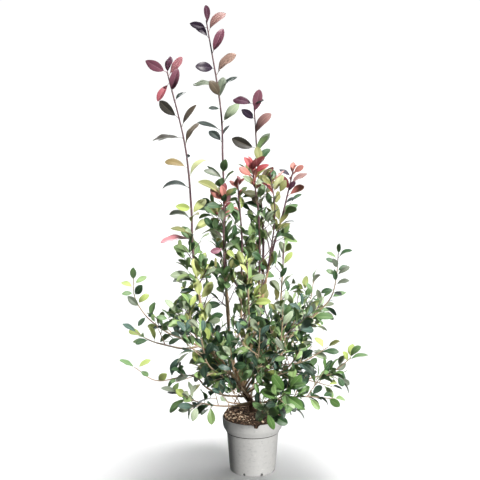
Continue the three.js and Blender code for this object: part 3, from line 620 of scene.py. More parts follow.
class Mass:
    """One mass of foliage: its stem, twigs and leaves, kept to the reach of its solid."""

    MARGIN = 12.0  # how far a finer leaf may stand out of the box of the mass's solid

    def __init__(self, index, row, route, crowd):
        self.row, self.name, self.crowd = row, row["name"], crowd
        self.node = "foliage_" + self.name
        self.seed = SEED.first + SEED.mass * index
        self.phase = index * SPIRAL
        self.foot = row["bare"] if row["bough"] else 0
        steps = math.ceil(route.length * (1 - self.foot) / STEM_STEP)
        self.stem = route.stretch(self.foot, 1, max(6, steps))
        low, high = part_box(self.node)
        self.low = np.array(low) / MM - self.MARGIN
        self.high = np.array(high) / MM + self.MARGIN
        self.shoots, self.leaves = [], []

    def share_on(self, share):
        """The share of the stem at a share of the whole limb."""
        return (share - self.foot) / (1 - self.foot)

    def colours(self, limb_share):
        first, low, second, middle, high = MASS_COLOURS.get(self.name, ARM_COLOURS)
        return low if limb_share < first else middle if limb_share < second else high

    def holds(self, leaf):
        """Whether a leaf keeps to the mass's reach and out of the places that stay open."""
        tip = leaf.root + leaf.along * leaf.length
        inside = (tip > self.low).all() and (tip < self.high).all()
        places = [leaf.root + leaf.along * leaf.length * part for part in (0.4, 0.7, 1)]
        return inside and not any(is_open(place) for place in places)

    def add_leaves(self, leaves, must_fit=True):
        for leaf in leaves:
            if must_fit and not self.holds(leaf):
                continue
            if self.crowd.try_adding(*blade_outline(leaf), must_fit):
                self.leaves.append(leaf)

    def add_stem(self):
        foot, tip = self.row["radii"]
        self.shoots.append(Shoot(self.stem, foot + (tip - foot) * self.foot, tip))
        self.crowd.try_adding(*tube_outline(self.stem, tip), must_fit=False)

    def add_outline_leaves(self):
        for share, *rest in OUTLINE_LEAVES.get(self.name, []):
            self.add_leaves([outline_leaf(self.stem, self.share_on(share), *rest)], must_fit=False)

    def add_tuft(self):
        """The young leaves at the tip, shorter and more upright the higher they stand."""
        count, longest, colours = TUFTS.get(self.name, (0, 0, {}))
        roll = dice(self.seed + SEED.tuft)
        leaves = []
        for i in range(count):
            part = (i + 0.5) / count
            share = 1 - TUFT.reach * (1 - part)
            turn = self.phase + i * SPIRAL + (roll() - 0.5)
            length = longest * vary(roll, *TUFT.length) * (1 - TUFT.shortening * part)
            lean = (roll() - 0.5) * TUFT.lean
            opening = TUFT.opening - TUFT.closing * part
            leaves.append(leaf_on(self.stem, share, turn, length, lean, opening, pick(colours, roll)))
        self.add_leaves(leaves)

    def side_twigs(self):
        """The side twigs of the part's rule, each with its random numbers and its share of the limb."""
        row = self.row
        for k in range(row["twigs"]):
            roll = dice(self.seed + SEED.twig * (k + 1))
            share = row["bare"] + (row["twig_reach"] - row["bare"]) * (k + roll()) / row["twigs"]
            turn = self.phase + (2 * k + 1) * SPIRAL
            length = row["twig"] * vary(roll, *TWIG.length)
            yield twig_on(self.stem, self.share_on(share), turn, length, TWIG.opening), roll, share

    def grow(self):
        """The ruled leaves and side twigs of the part's rule, then finer twigs between them."""
        row, leaf = self.row, self.row["leaf"]
        paint = dice(self.seed + SEED.paint)
        start, until = self.share_on(row["bare"] + 0.01), self.share_on(row["until"])
        self.add_leaves(leaves_along(
            self.stem, row["leaves"], leaf, self.phase, start, until, dice(self.seed),
            lambda share: pick(self.colours(self.foot + share * (1 - self.foot)), paint)))
        twigs = list(self.side_twigs())
        for route, roll, share in twigs:
            self.shoots.append(Shoot(route, TWIG.foot_radius, TWIG.tip_radius))
            spray = self.colours(share + 0.15)
            self.add_leaves(leaves_along(
                route, round(route.length / TWIG.leaf_gap), leaf * TWIG.leaf_share, self.phase,
                TWIG.first_leaf, 1, roll, lambda _, spray=spray: pick(spray, paint)))
        self.grow_sprigs(twigs, paint)

    def grow_sprigs(self, twigs, paint):
        """Finer twigs with a few smaller leaves each, on the side twigs and on the stem."""
        row = self.row
        lowest = row["bare"] + 0.02 if row["bough"] else row["bare"] * 0.4
        carriers = [(route, 0.25, 0.95, share) for route, _, share in twigs]
        carriers.append((self.stem, self.share_on(lowest), self.share_on(row["until"] * 0.9), row["bare"]))
        for c, (route, start, end, share) in enumerate(carriers):
            count = max(1, int(route.length * (end - start) / SPRIG.gap * AIRY.get(self.name, 1)))
            for k in range(count):
                roll = dice(self.seed + SEED.sprigs + SEED.carrier * c + SEED.sprig * k)
                at = start + (end - start) * (k + roll()) / count
                turn = self.phase + (2 * k + 2) * SPIRAL + roll()
                length = SPRIG.size * vary(roll, *SPRIG.length)
                sprig = twig_on(route, at, turn, length, SPRIG.opening)
                colour = pick(self.colours(share + 0.2), paint)
                before = len(self.leaves)
                self.add_leaves(leaves_along(
                    sprig, SPRIG.leaves, row["leaf"] * SPRIG.leaf_share, turn, SPRIG.first_leaf, 1,
                    roll, lambda _, colour=colour: colour))
                if len(self.leaves) > before:
                    self.shoots.append(Shoot(sprig, SPRIG.foot_radius, SPRIG.tip_radius))


def trunk_route():
    route = Route.through(TRUNK_ROUTE, LIMB_STEPS)
    route.ahead[0] = UP
    return route


def lay_out_limbs():
    """Every limb's route, foot to tip, by name."""
    routes = {"trunk": trunk_route()}
    for row in LIMBS:
        foot = routes[row["on"]].at(row["at"]).place
        routes[row["name"]] = Route.through([foot, *row["via"]], LIMB_STEPS)
    return routes


def grow_masses(routes):
    """Every mass: first all stems, then the leaves placed one by one, the tufts and what the rule grows."""
    crowd = Crowd()
    masses = [Mass(i, row, routes[row["name"]], crowd) for i, row in enumerate(LIMBS)]
    for step in (Mass.add_stem, Mass.add_outline_leaves, Mass.add_tuft, Mass.grow):
        for mass in masses:
            step(mass)
    return masses


# ---- Meshes ----

def make_smooth(mesh, sharp):
    """Smooth faces, with edges left sharp where they bend by more than an angle in degrees."""
    mesh.polygons.foreach_set("use_smooth", np.ones(len(mesh.polygons), bool))
    mesh.set_sharp_from_angle(angle=math.radians(sharp))


def mesh_object(name, points, faces, materials, slots=None, sharp=180):
    """An object from points in millimetres; slots gives each face's material."""
    mesh = bpy.data.meshes.new(name)
    mesh.from_pydata((np.asarray(points) * MM).tolist(), [], faces)
    for material in materials:
        mesh.materials.append(material)
    if slots is not None:
        mesh.polygons.foreach_set("material_index", np.asarray(slots, np.int32))
    make_smooth(mesh, sharp)
    mesh.update()
    piece = bpy.data.objects.new(name, mesh)
    bpy.context.scene.collection.objects.link(piece)
    return piece


# What a lamp can be kept to: the plant, the pot, the compost with its chips, all of these, or the floor.
LIT = {name: bpy.data.collections.new(name) for name in ("plant", "pot", "bed", "model", "floor")}
LIT_BY_SLOT = {"pot": "pot", "root_ball": "bed"}


def dress(piece, slot, *nodes):
    LIT[LIT_BY_SLOT.get(slot, "plant")].objects.link(piece)
    LIT["model"].objects.link(piece)
    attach(piece, "root")
    if nodes:
        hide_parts(*nodes)
    return piece


class Heap:
    """Points, faces and face materials gathered from many small shapes."""

    def __init__(self):
        self.points, self.faces, self.slots, self.count = [], [], [], 0

    def add(self, points, faces, slots):
        self.points.append(points)
        self.faces.extend((np.asarray(f) + self.count).tolist() for f in faces)
        self.slots.extend(slots)
        self.count += len(points)

    def piece(self, name, materials, sharp):
        return mesh_object(name, np.vstack(self.points), self.faces, materials, self.slots, sharp)


def ring_angles(count):
    return np.arange(count) * 2 * math.pi / count


def ring(radius, height, facets):
    return [(radius * math.cos(a), radius * math.sin(a), height) for a in ring_angles(facets)]


def ring_faces(rows, columns):
    """Quads of a closed ring of columns swept through rows."""
    return [(i * columns + k, i * columns + (k + 1) % columns,
             (i + 1) * columns + (k + 1) % columns, (i + 1) * columns + k)
            for i in range(rows - 1) for k in range(columns)]


def capped_rings(rings, first, last):
    """A closed solid of rings of points, from one end point through the rings to another."""
    count = len(rings[0])
    points = [*(place for places in rings for place in places), first, last]
    faces = ring_faces(len(rings), count)
    start, low, high = (len(rings) - 1) * count, len(points) - 2, len(points) - 1
    for k in range(count):
        n = (k + 1) % count
        faces += [(low, n, k), (high, start + k, start + n)]
    return np.array(points, float), faces


def shares(route):
    return np.linspace(0, 1, len(route.place))


def swept(route, radii, sides):
    """Points of a tube along a route, from a table of radii by station and side."""
    angles = ring_angles(sides)[:, None]
    out = route.across[:, None] * np.cos(angles) + route.over[:, None] * np.sin(angles)
    return (route.place[:, None] + out * radii[..., None]).reshape(-1, 3)


def tube_faces(rows, sides):
    """Faces of a tube of so many rows of points, closed at both ends."""
    first, last = tuple(range(sides)), tuple(range((rows - 1) * sides, rows * sides))
    return ring_faces(rows, sides) + [first[::-1], last]


def tube(route, radii, sides):
    """A closed tube along a route with a radius for each station."""
    return swept(route, np.asarray(radii)[:, None], sides), tube_faces(len(route.place), sides)


# ---- Leaf shape ----

LEAF = Sizes(
    rows=13,  # stretches along the blade
    stalk=0.16,  # the stalk's share of the length
    width=0.4,  # the blade's width as a share of the whole length
    slant=0.07,  # how far the side veins run forward
    tooth=0.012,  # how far the margin's teeth stand out, as a share of the half width
    ripple=0.0006,  # height of the swell between side veins, as a share of the length
    waves=2.2,  # waves along each margin
    flatter=0.4,  # how much less the blade is folded at its tip
    thickness=0.007,
    thinner=0.7,  # how much thinner the blade is at its margins
    stalk_radius=0.012,
)
ACROSS = np.array([-1, -0.75, -0.4, -0.06, 0.06, 0.4, 0.75, 1])  # columns of the blade from edge to edge


def blade_profile(t, rise, fall):
    """Half the blade's width from its base at 0 to its tip at 1, as a share of the broadest."""
    peak = rise / (rise + fall)
    return (t / peak) ** rise * ((1 - t) / (1 - peak)) ** fall


def blade_grid():
    """The places along and across of the blade's points, the teeth and the swell between side veins."""
    t = np.linspace(0.012, 0.985, LEAF.rows + 1)[:, None]
    u = ACROSS[None, :] * np.ones_like(t)
    place = np.clip(t + LEAF.slant * np.abs(u) * np.sin(math.pi * t), 0.004, 0.996)
    odd = np.where(np.arange(LEAF.rows + 1) % 2, 1.0, -1.0)[:, None]
    teeth = 1 + LEAF.tooth * odd * (np.abs(u) > 0.9)
    swell = odd * (np.abs(np.abs(u) - 0.55) < 0.25)
    return place, u, teeth, swell


GRID = blade_grid()


def blade_faces():
    """Faces of the closed blade: the upper and lower side, the margins and both ends, with their slots."""
    rows, columns = LEAF.rows + 1, len(ACROSS)
    below = rows * columns
    faces, slots = [], []

    def add(face, slot, flip=False):
        faces.append(face[::-1] if flip else face)
        slots.append(slot)

    def add_wall(a, b, flip):
        add((a, b, below + b, below + a), 0, flip)

    for i in range(rows - 1):
        for j in range(columns - 1):
            a = i * columns + j
            add((a, a + columns, a + columns + 1, a + 1), int(j == columns // 2 - 1))
            add((below + a, below + a + 1, below + a + columns + 1, below + a + columns), 1)
        for a, flip in ((i * columns, True), ((i + 1) * columns - 1, False)):
            add_wall(a, a + columns, flip)
    for start, flip in ((0, False), ((rows - 1) * columns, True)):
        for a in range(start, start + columns - 1):
            add_wall(a, a + 1, flip)
    return faces, slots


BLADE_FACES, BLADE_SLOTS = blade_faces()

# The stalk and the rib that runs on under the blade: where its stations lie along the leaf, their radii as
# shares of the stalk's, and how far each is sunk, in its own radii.
STALK_SIDES = 4
STALK = Sizes(along=(0.0, 0.09, 0.18, 0.38, 0.62, 0.86), radii=(1.25, 0.9, 0.9, 0.7, 0.45, 0.2),
             sunk=(0, 0, 0.35, 0.8, 0.8, 0.8))
STALK_FACES = tube_faces(len(STALK.along), STALK_SIDES)


class LeafForm:
    """A leaf's own curves: how it arches, folds, twists and waves, within the line from root to tip."""

    def __init__(self, leaf, roll):
        self.leaf = leaf
        self.side = np.cross(leaf.face, leaf.along)
        self.arch = 0.35 + 1.1 * roll() ** 1.3
        self.fold = vary(roll, 0.35, 0.6)
        self.cup = vary(roll, 0.35, 0.6)
        self.twist = (roll() - 0.5) * 0.8
        self.wave = 0.014 * roll()
        self.wave_phase = roll() * 2 * math.pi
        self.width = LEAF.width * vary(roll, 0.9, 0.24)
        self.rise = vary(roll, 0.86, 0.34)
        self.fall = vary(roll, 0.66, 0.3)

    def spine(self, s):
        """Places along the leaf's arched middle line, and the directions aside and up there."""
        leaf, half = self.leaf, self.arch / 2
        turn = half - self.arch * s
        chord = 2 * math.sin(half)
        x = (math.sin(half) - np.sin(turn)) / chord * leaf.length
        y = (np.cos(turn) - math.cos(half)) / chord * leaf.length
        place = leaf.root + x[..., None] * leaf.along + y[..., None] * leaf.face
        up = -np.sin(turn)[..., None] * leaf.along + np.cos(turn)[..., None] * leaf.face
        angle = self.twist * (s - 0.3)[..., None]
        side = self.side * np.cos(angle) + up * np.sin(angle)
        return place, side, up * np.cos(angle) - self.side * np.sin(angle)

    def blade(self):
        t, u, teeth, swell = GRID
        length = self.leaf.length
        place, side, up = self.spine(LEAF.stalk + (1 - LEAF.stalk) * t)
        reach = blade_profile(t, self.rise, self.fall) * teeth * self.width * length / 2
        fold = self.fold * (1 - LEAF.flatter * t)
        lean = fold - self.cup * np.abs(u)
        phase = 2 * math.pi * LEAF.waves * t + self.wave_phase + u
        wave = self.wave * length * u**2 * np.sin(phase)
        out = np.sign(u) * reach * (np.sin(fold) - np.sin(lean)) / self.cup
        lift = reach * (np.cos(lean) - np.cos(fold)) / self.cup + wave + swell * LEAF.ripple * length
        middle = place + side * out[..., None] + up * lift[..., None]
        thick = LEAF.thickness * length * (1 - LEAF.thinner * np.abs(u))[..., None] / 2
        return np.vstack([(middle + up * thick).reshape(-1, 3), (middle - up * thick).reshape(-1, 3)])

    def stalk(self):
        """The stalk and the rib that runs on under the blade."""
        place, side, up = self.spine(np.array(STALK.along))
        radii = LEAF.stalk_radius * self.leaf.length * np.array(STALK.radii)
        place = place - up * (STALK.sunk * radii)[:, None]
        return swept(Station(place, None, side, up), radii[:, None], STALK_SIDES)


YOUNG = ("red_left", "red_mid", "front_right", "fork_right")  # masses whose leaves are young ones


def add_mass_pieces(mass, leaf_materials, bark_materials):
    """The leaves of one mass as one piece, and its stem and twigs as another."""
    roll = dice(mass.seed + SEED.shape)
    heap = Heap()
    used = sorted({leaf.colour for leaf in mass.leaves})
    for leaf in mass.leaves:
        form = LeafForm(leaf, roll)
        first = 2 * used.index(leaf.colour)
        heap.add(form.blade(), BLADE_FACES, [first + slot for slot in BLADE_SLOTS])
        heap.add(form.stalk(), STALK_FACES, [first + 1] * len(STALK_FACES))
    materials = [m for colour in used for m in leaf_materials[colour]]
    leaves = heap.piece(f"{mass.name}_leaves", materials, sharp=60)
    leaves.cycles.shadow_terminator_geometry_offset = 1.0  # no dotted shade on leaves that light grazes
    dress(leaves, "young_leaf" if mass.name in YOUNG else "leaf", mass.node)
    dress(twig_piece(mass, bark_materials), "bark", mass.node)


GREEN_WOOD = (700, 520)  # above these heights a mass's stem and its twigs have a young shoot's colour
KNOTS = Sizes(height=0.1, length=7.0, sharpness=8)


def twig_piece(mass, bark_materials):
    heap = Heap()
    for k, (route, foot, tip) in enumerate(mass.shoots):
        share = shares(route)
        bumps = np.sin(share * route.length / KNOTS.length) ** KNOTS.sharpness
        radii = (foot + (tip - foot) * share) * (1 + KNOTS.height * bumps)
        points, faces = tube(route, radii, 8 if k == 0 else 5)
        heights = points[[face[0] for face in faces], 2]
        heap.add(points, faces, (heights > GREEN_WOOD[min(k, 1)]).astype(int).tolist())
    return heap.piece(f"{mass.name}_twigs", bark_materials, sharp=60)


# ---- Trunk and boughs ----

# The low rings that old leaves have left, higher on one side of the limb, and the bark's shallow ridges and
# finer ones on them: heights and depths are shares of the limb's radius.
SCARS = Sizes(apart=27, length=2.2, height=0.12)
RIDGES = Sizes(around=2.2, length=26, depth=0.09, finer_around=3, finer_along=1.7, finer_depth=0.035)


def scar_relief(walked, angles, seed):
    nearest = round(walked / SCARS.apart)
    near = math.exp(-((walked - nearest * SCARS.apart) / SCARS.length) ** 2)
    return SCARS.height * near * (0.6 + 0.4 * np.cos(angles - nearest * SPIRAL - seed))


def ridge_relief(walked, angle, seed):
    around, finer = RIDGES.around, RIDGES.finer_around
    where = Vector((around * math.cos(angle), around * math.sin(angle), walked / RIDGES.length))
    fine = Vector((finer * where.x, finer * where.y, where.z * RIDGES.finer_along))
    shift = Vector((seed, seed * 2, 0))
    return RIDGES.depth * noise.noise(where + shift) + RIDGES.finer_depth * noise.noise(fine + shift)


def bark_tube(route, radii, sides, seed):
    """A tube with a radius for each station and the relief of bark."""
    angles = ring_angles(sides)
    relief = []
    for share in shares(route):
        walked = share * route.length
        ridges = np.array([ridge_relief(walked, angle, seed) for angle in angles])
        relief.append(ridges + scar_relief(walked, angles, seed))
    radii = np.array(radii)[:, None] * (1 + np.array(relief))
    return swept(route, radii, sides), tube_faces(len(radii), sides)


def trunk_radius(walked, share):
    straight = TRUNK.foot_radius + (TRUNK.tip_radius - TRUNK.foot_radius) * share
    return straight + TRUNK.flare * math.exp(-walked / TRUNK.flare_length)


def rooted(route, depth):
    """The route with a first station straight below its foot, down in the compost."""
    below = route.place[0] - UP * depth
    return Route(np.vstack([below, route.place]), np.vstack([UP, route.ahead]),
                 np.vstack([route.across[0], route.across]))


def add_trunk(limbs, bark):
    route = rooted(limbs["trunk"], SOIL.sunk)
    radii = [trunk_radius(share * route.length, share) for share in shares(route)]
    points, faces = bark_tube(route, radii, sides=28, seed=3.0)
    dress(mesh_object("trunk_bark", points, faces, [bark], sharp=70), "bark", "trunk")


SWELL = Sizes(height=0.3, length=14)  # how a bough swells toward its foot, as a share of its radius


def bough_radius(row, walked, share):
    foot, tip = row["radii"]
    straight = foot + (tip - foot) * share * row["bare"]
    return straight * (1 + SWELL.height * math.exp(-walked / SWELL.length))


def add_boughs(limbs, bark):
    """Each bough from the middle of what bears it to where its mass begins."""
    for i, row in enumerate(LIMBS):
        if not row["bough"]:
            continue
        limb = limbs[row["name"]]
        steps = round(limb.length * row["bare"] / BARK_STEP)
        route = limb.stretch(0, row["bare"], max(16, steps))
        radii = [bough_radius(row, share * route.length, share) for share in shares(route)]
        points, faces = bark_tube(route, radii, sides=18, seed=10.0 + i)
        piece = mesh_object(f"{row['name']}_bark", points, faces, [bark], sharp=70)
        dress(piece, "bark", "bough_" + row["name"])


# ---- Pot ----

def turned(profile, facets):
    """A closed solid of revolution from (radius, height) pairs between two ends on the axis."""
    rings = [ring(*place, facets) for place in profile[1:-1]]
    return capped_rings(rings, (0, 0, profile[0][1]), (0, 0, profile[-1][1]))


def body_radius(height):
    return POT.base_radius + (POT.body_radius - POT.base_radius) * height / POT.shoulder_height


def arc(centre, radius, start, end, steps):
    """(radius, height) pairs along an arc; angles in degrees."""
    angles = np.radians(np.linspace(start, end, steps + 1))
    return [(centre[0] + radius * math.cos(a), centre[1] + radius * math.sin(a)) for a in angles]


def pot_profile():
    """The pot's outline from the middle of its underside out, up over the rim and down inside."""
    foot, shoulder, rim = POT.collar_foot, POT.shoulder_height, POT.rim_radius
    wall, top, base, step = POT.wall, POT.height, POT.base_radius, POT.shoulder_radius
    groove, under, floor = shoulder - POT.groove, POT.hollow, POT.hollow + POT.floor
    neck = body_radius(shoulder)
    outer = [(0, under), (base - 14, under), (base - 9, 0)]
    outer += arc((base - 5, 5), 5, -90, -5, 6)
    outer += [(body_radius(h), h) for h in np.linspace(10, groove - 0.3, 12)]
    outer += [(neck - 1.7, groove), (neck - 2, shoulder - 2), (neck - 1.9, shoulder - 1)]
    outer += arc((step - 1.2, shoulder), 1.4, -70, 0, 4)
    outer += [(rim - 8, shoulder + 8), (rim - 4, shoulder + 14), (rim - 2.2, shoulder + 22), (rim - 1, foot)]
    outer += arc((rim - 1.4, top - 1.6), 1.6, 0, 150, 7)
    inner = [(rim - 1 - wall, top - 4), (rim - 1 - wall, foot), (rim - 4 - wall, shoulder + 15),
             (neck - wall, shoulder - 1), (body_radius(12) - wall, 12), (body_radius(4) - wall - 4, floor),
             (0, floor)]
    return outer + inner


def cut(piece, cutters):
    """Cuts others out of a piece, applied, and removes them."""
    for cutter in cutters:
        change = piece.modifiers.new("cut", "BOOLEAN")
        change.operation = "DIFFERENCE"
        change.solver = "EXACT"
        change.object = cutter
    depsgraph = bpy.context.evaluated_depsgraph_get()
    made = bpy.data.meshes.new_from_object(piece.evaluated_get(depsgraph))
    piece.modifiers.clear()
    piece.data = made
    for cutter in cutters:
        bpy.data.objects.remove(cutter)


def drain_cutter(i):
    """A short bar through the pot's foot where a drain is open."""
    angle = (i + 0.5) * 2 * math.pi / POT.drains
    out = np.array([math.cos(angle), math.sin(angle), 0])
    middle = out * (POT.base_radius - 1) + UP * (POT.drain_radius + 1.5)
    half = out * 9
    points, faces = tube(Route.through([middle - half, middle + half], 1), [POT.drain_radius] * 2, 20)
    return mesh_object(f"drain_{i}", points, faces, [])


def groove_shade_slots(points, faces):
    """1 for the faces in the groove under the collar, which take the dark painted shade, 0 for the others.
    """
    low, high = POT.shoulder_height - POT.groove - 0.4, POT.shoulder_height + 0.1
    inside = body_radius(high) - 9  # the wall's inner side is narrower than this
    slots = []
    for face in faces:
        x, y, z = points[list(face)].T
        slots.append(int((z > low).all() and (z < high).all() and inside < math.hypot(x[0], y[0])))
    return slots


def add_pot(materials):
    points, faces = turned(pot_profile(), POT.facets)
    pot = mesh_object("pot_shell", points, faces, materials, groove_shade_slots(points, faces))
    cut(pot, [drain_cutter(i) for i in range(POT.drains)])
    make_smooth(pot.data, 38)
    dress(pot, "pot", "pot")


# ---- Compost ----

LUMPS = ((3.2, 22, 0.3), (1.7, 8, 4.1))  # height, breadth and layer of noise of the compost's lumps


def heap_height(x, y):
    """Height of the compost's top at a place: a low mound with lumps, falling to the rim."""
    slope, drop = SOIL.proud_radius - SOIL.flat_radius, SOIL.top - POT.height - 2
    fall = min(1, max(0.0, (math.hypot(x, y) - SOIL.flat_radius) / slope))
    lumps = sum(height * noise.noise(Vector((x / wide, y / wide, layer))) for height, wide, layer in LUMPS)
    return SOIL.top - drop * fall**1.6 - 3 + lumps * (1 - 0.5 * fall)


def lumpy_ring(radius, facets):
    """A slightly wavering ring of places on the compost's top."""
    places = []
    for angle in ring_angles(facets):
        wobble = 1 + 0.012 * noise.noise(Vector((3 * math.cos(angle), 3 * math.sin(angle), 7)))
        x, y = radius * wobble * math.cos(angle), radius * wobble * math.sin(angle)
        places.append((x, y, heap_height(x, y)))
    return places


def add_compost(material):
    """The top of the compost as a closed, lumpy disc that reaches down inside the rim."""
    steps, facets = 34, 120
    outer, inside = SOIL.proud_radius + 0.5, POT.rim_radius - POT.wall - 2.4
    foot = SOIL.top - SOIL.sunk - 14
    rings = [ring(inside, foot, facets), ring(inside, POT.height + 0.4, facets)]
    rings += [lumpy_ring(outer * i / steps, facets) for i in range(steps, 0, -1)]
    points, faces = capped_rings(rings, (0, 0, foot), (0, 0, heap_height(0, 0)))
    dress(mesh_object("compost", points, faces, [material], sharp=80), "root_ball", "root_ball")


def chip_shape(roll, length, width, thick):
    """A flake with six uneven corners above and below."""
    corners = []
    for level in (-1, 1):
        for angle in ring_angles(6):
            stretch = vary(roll, 0.75, 0.5)
            corners.append((length / 2 * math.cos(angle) * stretch, width / 2 * math.sin(angle) * stretch,
                            level * thick / 2 * vary(roll, 0.6, 0.6)))
    return np.array(corners), tube_faces(2, 6)


def turn_matrix(roll, tilt):
    """A turn about the upright by any angle, after a lean of up to the tilt, in degrees."""
    spin, lean, toward = roll() * 2 * math.pi, math.radians(tilt) * (roll() - 0.5) * 2, roll() * 2 * math.pi
    c, s = math.cos(spin), math.sin(spin)
    about_z = np.array([[c, -s, 0], [s, c, 0], [0, 0, 1]])
    x, y = math.cos(toward), math.sin(toward)
    k = np.array([[0, 0, y], [0, 0, -x], [-y, x, 0]])
    leaning = np.eye(3) + math.sin(lean) * k + (1 - math.cos(lean)) * k @ k
    return about_z @ leaning


CHIPS = Sizes(seed=4242, count=1000, shortest=5, longest=17, width=(0.3, 0.3), thickness=(1, 2), lean=38)
CRUMBS = Sizes(count=1100, size=(1.5, 3.2), brown=0.4)

# Compost that hangs over the rim's front, at a compass way and to either side of it in degrees.
SPILL = Sizes(count=40, way=-85, spread=8, top=197, depth=14, size=(3, 4), flat=0.6, lean=70, brown=0.5)
DARK, BROWN, PALE, TAN = range(4)  # the order of the chips' materials


def chip_slot(x, y, roll):
    """Which chip colour lies at a place: the pale ones gather at the front left."""
    paleness = max(0.0, (-1.5 * x - 1.1 * y) / SOIL.proud_radius - 0.7)
    if roll() < 0.06 + 0.8 * paleness:
        return PALE if roll() < 0.7 else TAN
    return BROWN if roll() < 0.55 else DARK


def strewn_chip(roll, x, y, crumb):
    """A chip or crumb that lies on the compost at a place."""
    if crumb:
        size = vary(roll, *CRUMBS.size)
        shape, faces = chip_shape(roll, size, size, size)
    else:
        size = CHIPS.shortest + (CHIPS.longest - CHIPS.shortest) * roll() ** 2
        width = size * vary(roll, *CHIPS.width)
        shape, faces = chip_shape(roll, size, width, vary(roll, *CHIPS.thickness))
    shape = shape @ turn_matrix(roll, CHIPS.lean).T
    sunk = 0.8 + 0.06 * size
    return shape + np.array([x, y, heap_height(x, y) - shape[:, 2].min() - sunk]), faces


def spilled_crumb(roll):
    """A crumb that clings to the outside of the collar below the rim, lower ones nearer the middle."""
    down = roll()
    aside = SPILL.spread * (roll() - 0.5) * 2 * (1 - 0.8 * down)
    angle = math.radians(SPILL.way + aside)
    out = POT.rim_radius + 0.4 - 1.2 * down
    size = vary(roll, *SPILL.size)
    shape, faces = chip_shape(roll, size, size, size * SPILL.flat)
    place = (out * math.cos(angle), out * math.sin(angle), SPILL.top - SPILL.depth * down)
    return shape @ turn_matrix(roll, SPILL.lean).T + np.array(place), faces


def add_chips(materials):
    """Bark chips and crumbs strewn over the compost, and a little of it over the rim."""
    roll = dice(CHIPS.seed)
    heap = Heap()
    for n in range(CHIPS.count + CRUMBS.count):
        crumb = n >= CHIPS.count
        radius = (SOIL.proud_radius - 3) * math.sqrt(roll())
        x, y = radius * math.cos(n * SPIRAL), radius * math.sin(n * SPIRAL)
        slot = int(roll() < CRUMBS.brown) if crumb else chip_slot(x, y, roll)
        points, faces = strewn_chip(roll, x, y, crumb)
        heap.add(points, faces, [slot] * len(faces))
    for _ in range(SPILL.count):
        points, faces = spilled_crumb(roll)
        heap.add(points, faces, [int(roll() < SPILL.brown)] * len(faces))
    dress(heap.piece("bark_chips", materials, sharp=30), "root_ball")


# ---- Materials ----

def new_material(name, colour, roughness, specular):
    material = bpy.data.materials.new(name)
    material.use_nodes = True
    shader = material.node_tree.nodes["Principled BSDF"]
    shader.inputs["Base Color"].default_value = linear(colour)
    shader.inputs["Roughness"].default_value = roughness
    shader.inputs["Specular IOR Level"].default_value = specular
    return material


def add_node(tree, kind, **values):
    """A shader node with constant values on some of its inputs."""
    node = tree.nodes.new(kind)
    for key, value in values.items():
        node.inputs[key].default_value = value
    return node


def add_pattern(material, stops, scale, detail, bump, stretch=(1, 1, 1)):
    """Colours a material by noise through (share, colour) stops, with a bump of some strength and depth."""
    tree = material.node_tree
    shader = tree.nodes["Principled BSDF"]
    where = add_node(tree, "ShaderNodeTexCoord")
    mapping = add_node(tree, "ShaderNodeMapping", Scale=stretch)
    pattern = add_node(tree, "ShaderNodeTexNoise", Scale=scale, Detail=detail)
    ramp = add_node(tree, "ShaderNodeValToRGB")
    relief = add_node(tree, "ShaderNodeBump", Strength=bump[0], Distance=bump[1])
    elements = ramp.color_ramp.elements
    for share, _ in stops[1:-1]:
        elements.new(share)
    for element, (share, colour) in zip(elements, stops):
        element.position = share
        element.color = linear(colour)
    tree.links.new(where.outputs["Object"], mapping.inputs["Vector"])
    tree.links.new(mapping.outputs["Vector"], pattern.inputs["Vector"])
    tree.links.new(pattern.outputs["Fac"], ramp.inputs["Fac"])
    tree.links.new(pattern.outputs["Fac"], relief.inputs["Height"])
    tree.links.new(ramp.outputs["Color"], shader.inputs["Base Color"])
    tree.links.new(relief.outputs["Normal"], shader.inputs["Normal"])
    return material


def leaf_materials():
    """For each colour, the upper face's material and the underside's."""
    return {name: (new_material(f"leaf_{name}", top, 0.42, 0.38),
                   new_material(f"leaf_{name}_under", under, 0.5, 0.3))
            for name, (top, under) in LEAF_COLOURS.items()}


def bark_material(name, colours):
    """Bark in four colours, from its furrows to its ridges."""
    stops = [(share, BARK[colour]) for share, colour in zip((0.3, 0.46, 0.6, 0.74), colours)]
    wood = new_material(name, stops[1][1], 0.7, 0.3)
    return add_pattern(wood, stops, scale=60, detail=6, bump=(0.35, 0.0012), stretch=(1, 1, 0.3))


def twig_materials():
    return [new_material("twig_wood", BARK["twig"], 0.6, 0.35),
            new_material("twig_shoot", BARK["shoot"], 0.5, 0.4)]


def pot_materials():
    stops = [(share, POT_COLOURS[colour]) for share, colour in POT_STOPS]
    plastic = new_material("pot_plastic", POT_COLOURS["plain"], 0.5, 0.25)
    return [add_pattern(plastic, stops, scale=90, detail=10, bump=(0.04, 0.0004), stretch=(1, 1, 1.5)),
            # The second material paints the groove under the collar dark, as painted shade.
            new_material("pot_groove_shade", POT_COLOURS["groove_shade"], 0.9, 0.1)]


def compost_material():
    stops = [(share, COMPOST[colour]) for share, colour in COMPOST_STOPS]
    soil = new_material("compost", COMPOST["mid"], 0.95, 0.1)
    return add_pattern(soil, stops, scale=160, detail=8, bump=(0.6, 0.002))


def chip_materials():
    return [new_material("crumb_dark", COMPOST["dark"], 0.95, 0.1),
            new_material("chip_brown", COMPOST["mid"], 0.9, 0.1),
            new_material("chip_pale", COMPOST["pale"], 0.85, 0.15),
            new_material("chip_tan", COMPOST["tan"], 0.85, 0.15)]


# ---- Stage ----

STAGE = Sizes(floor_radius=60000, floor_sides=64, sky=0.13, sky_colour=(0.97, 0.985, 1.0, 1), white=1.04)

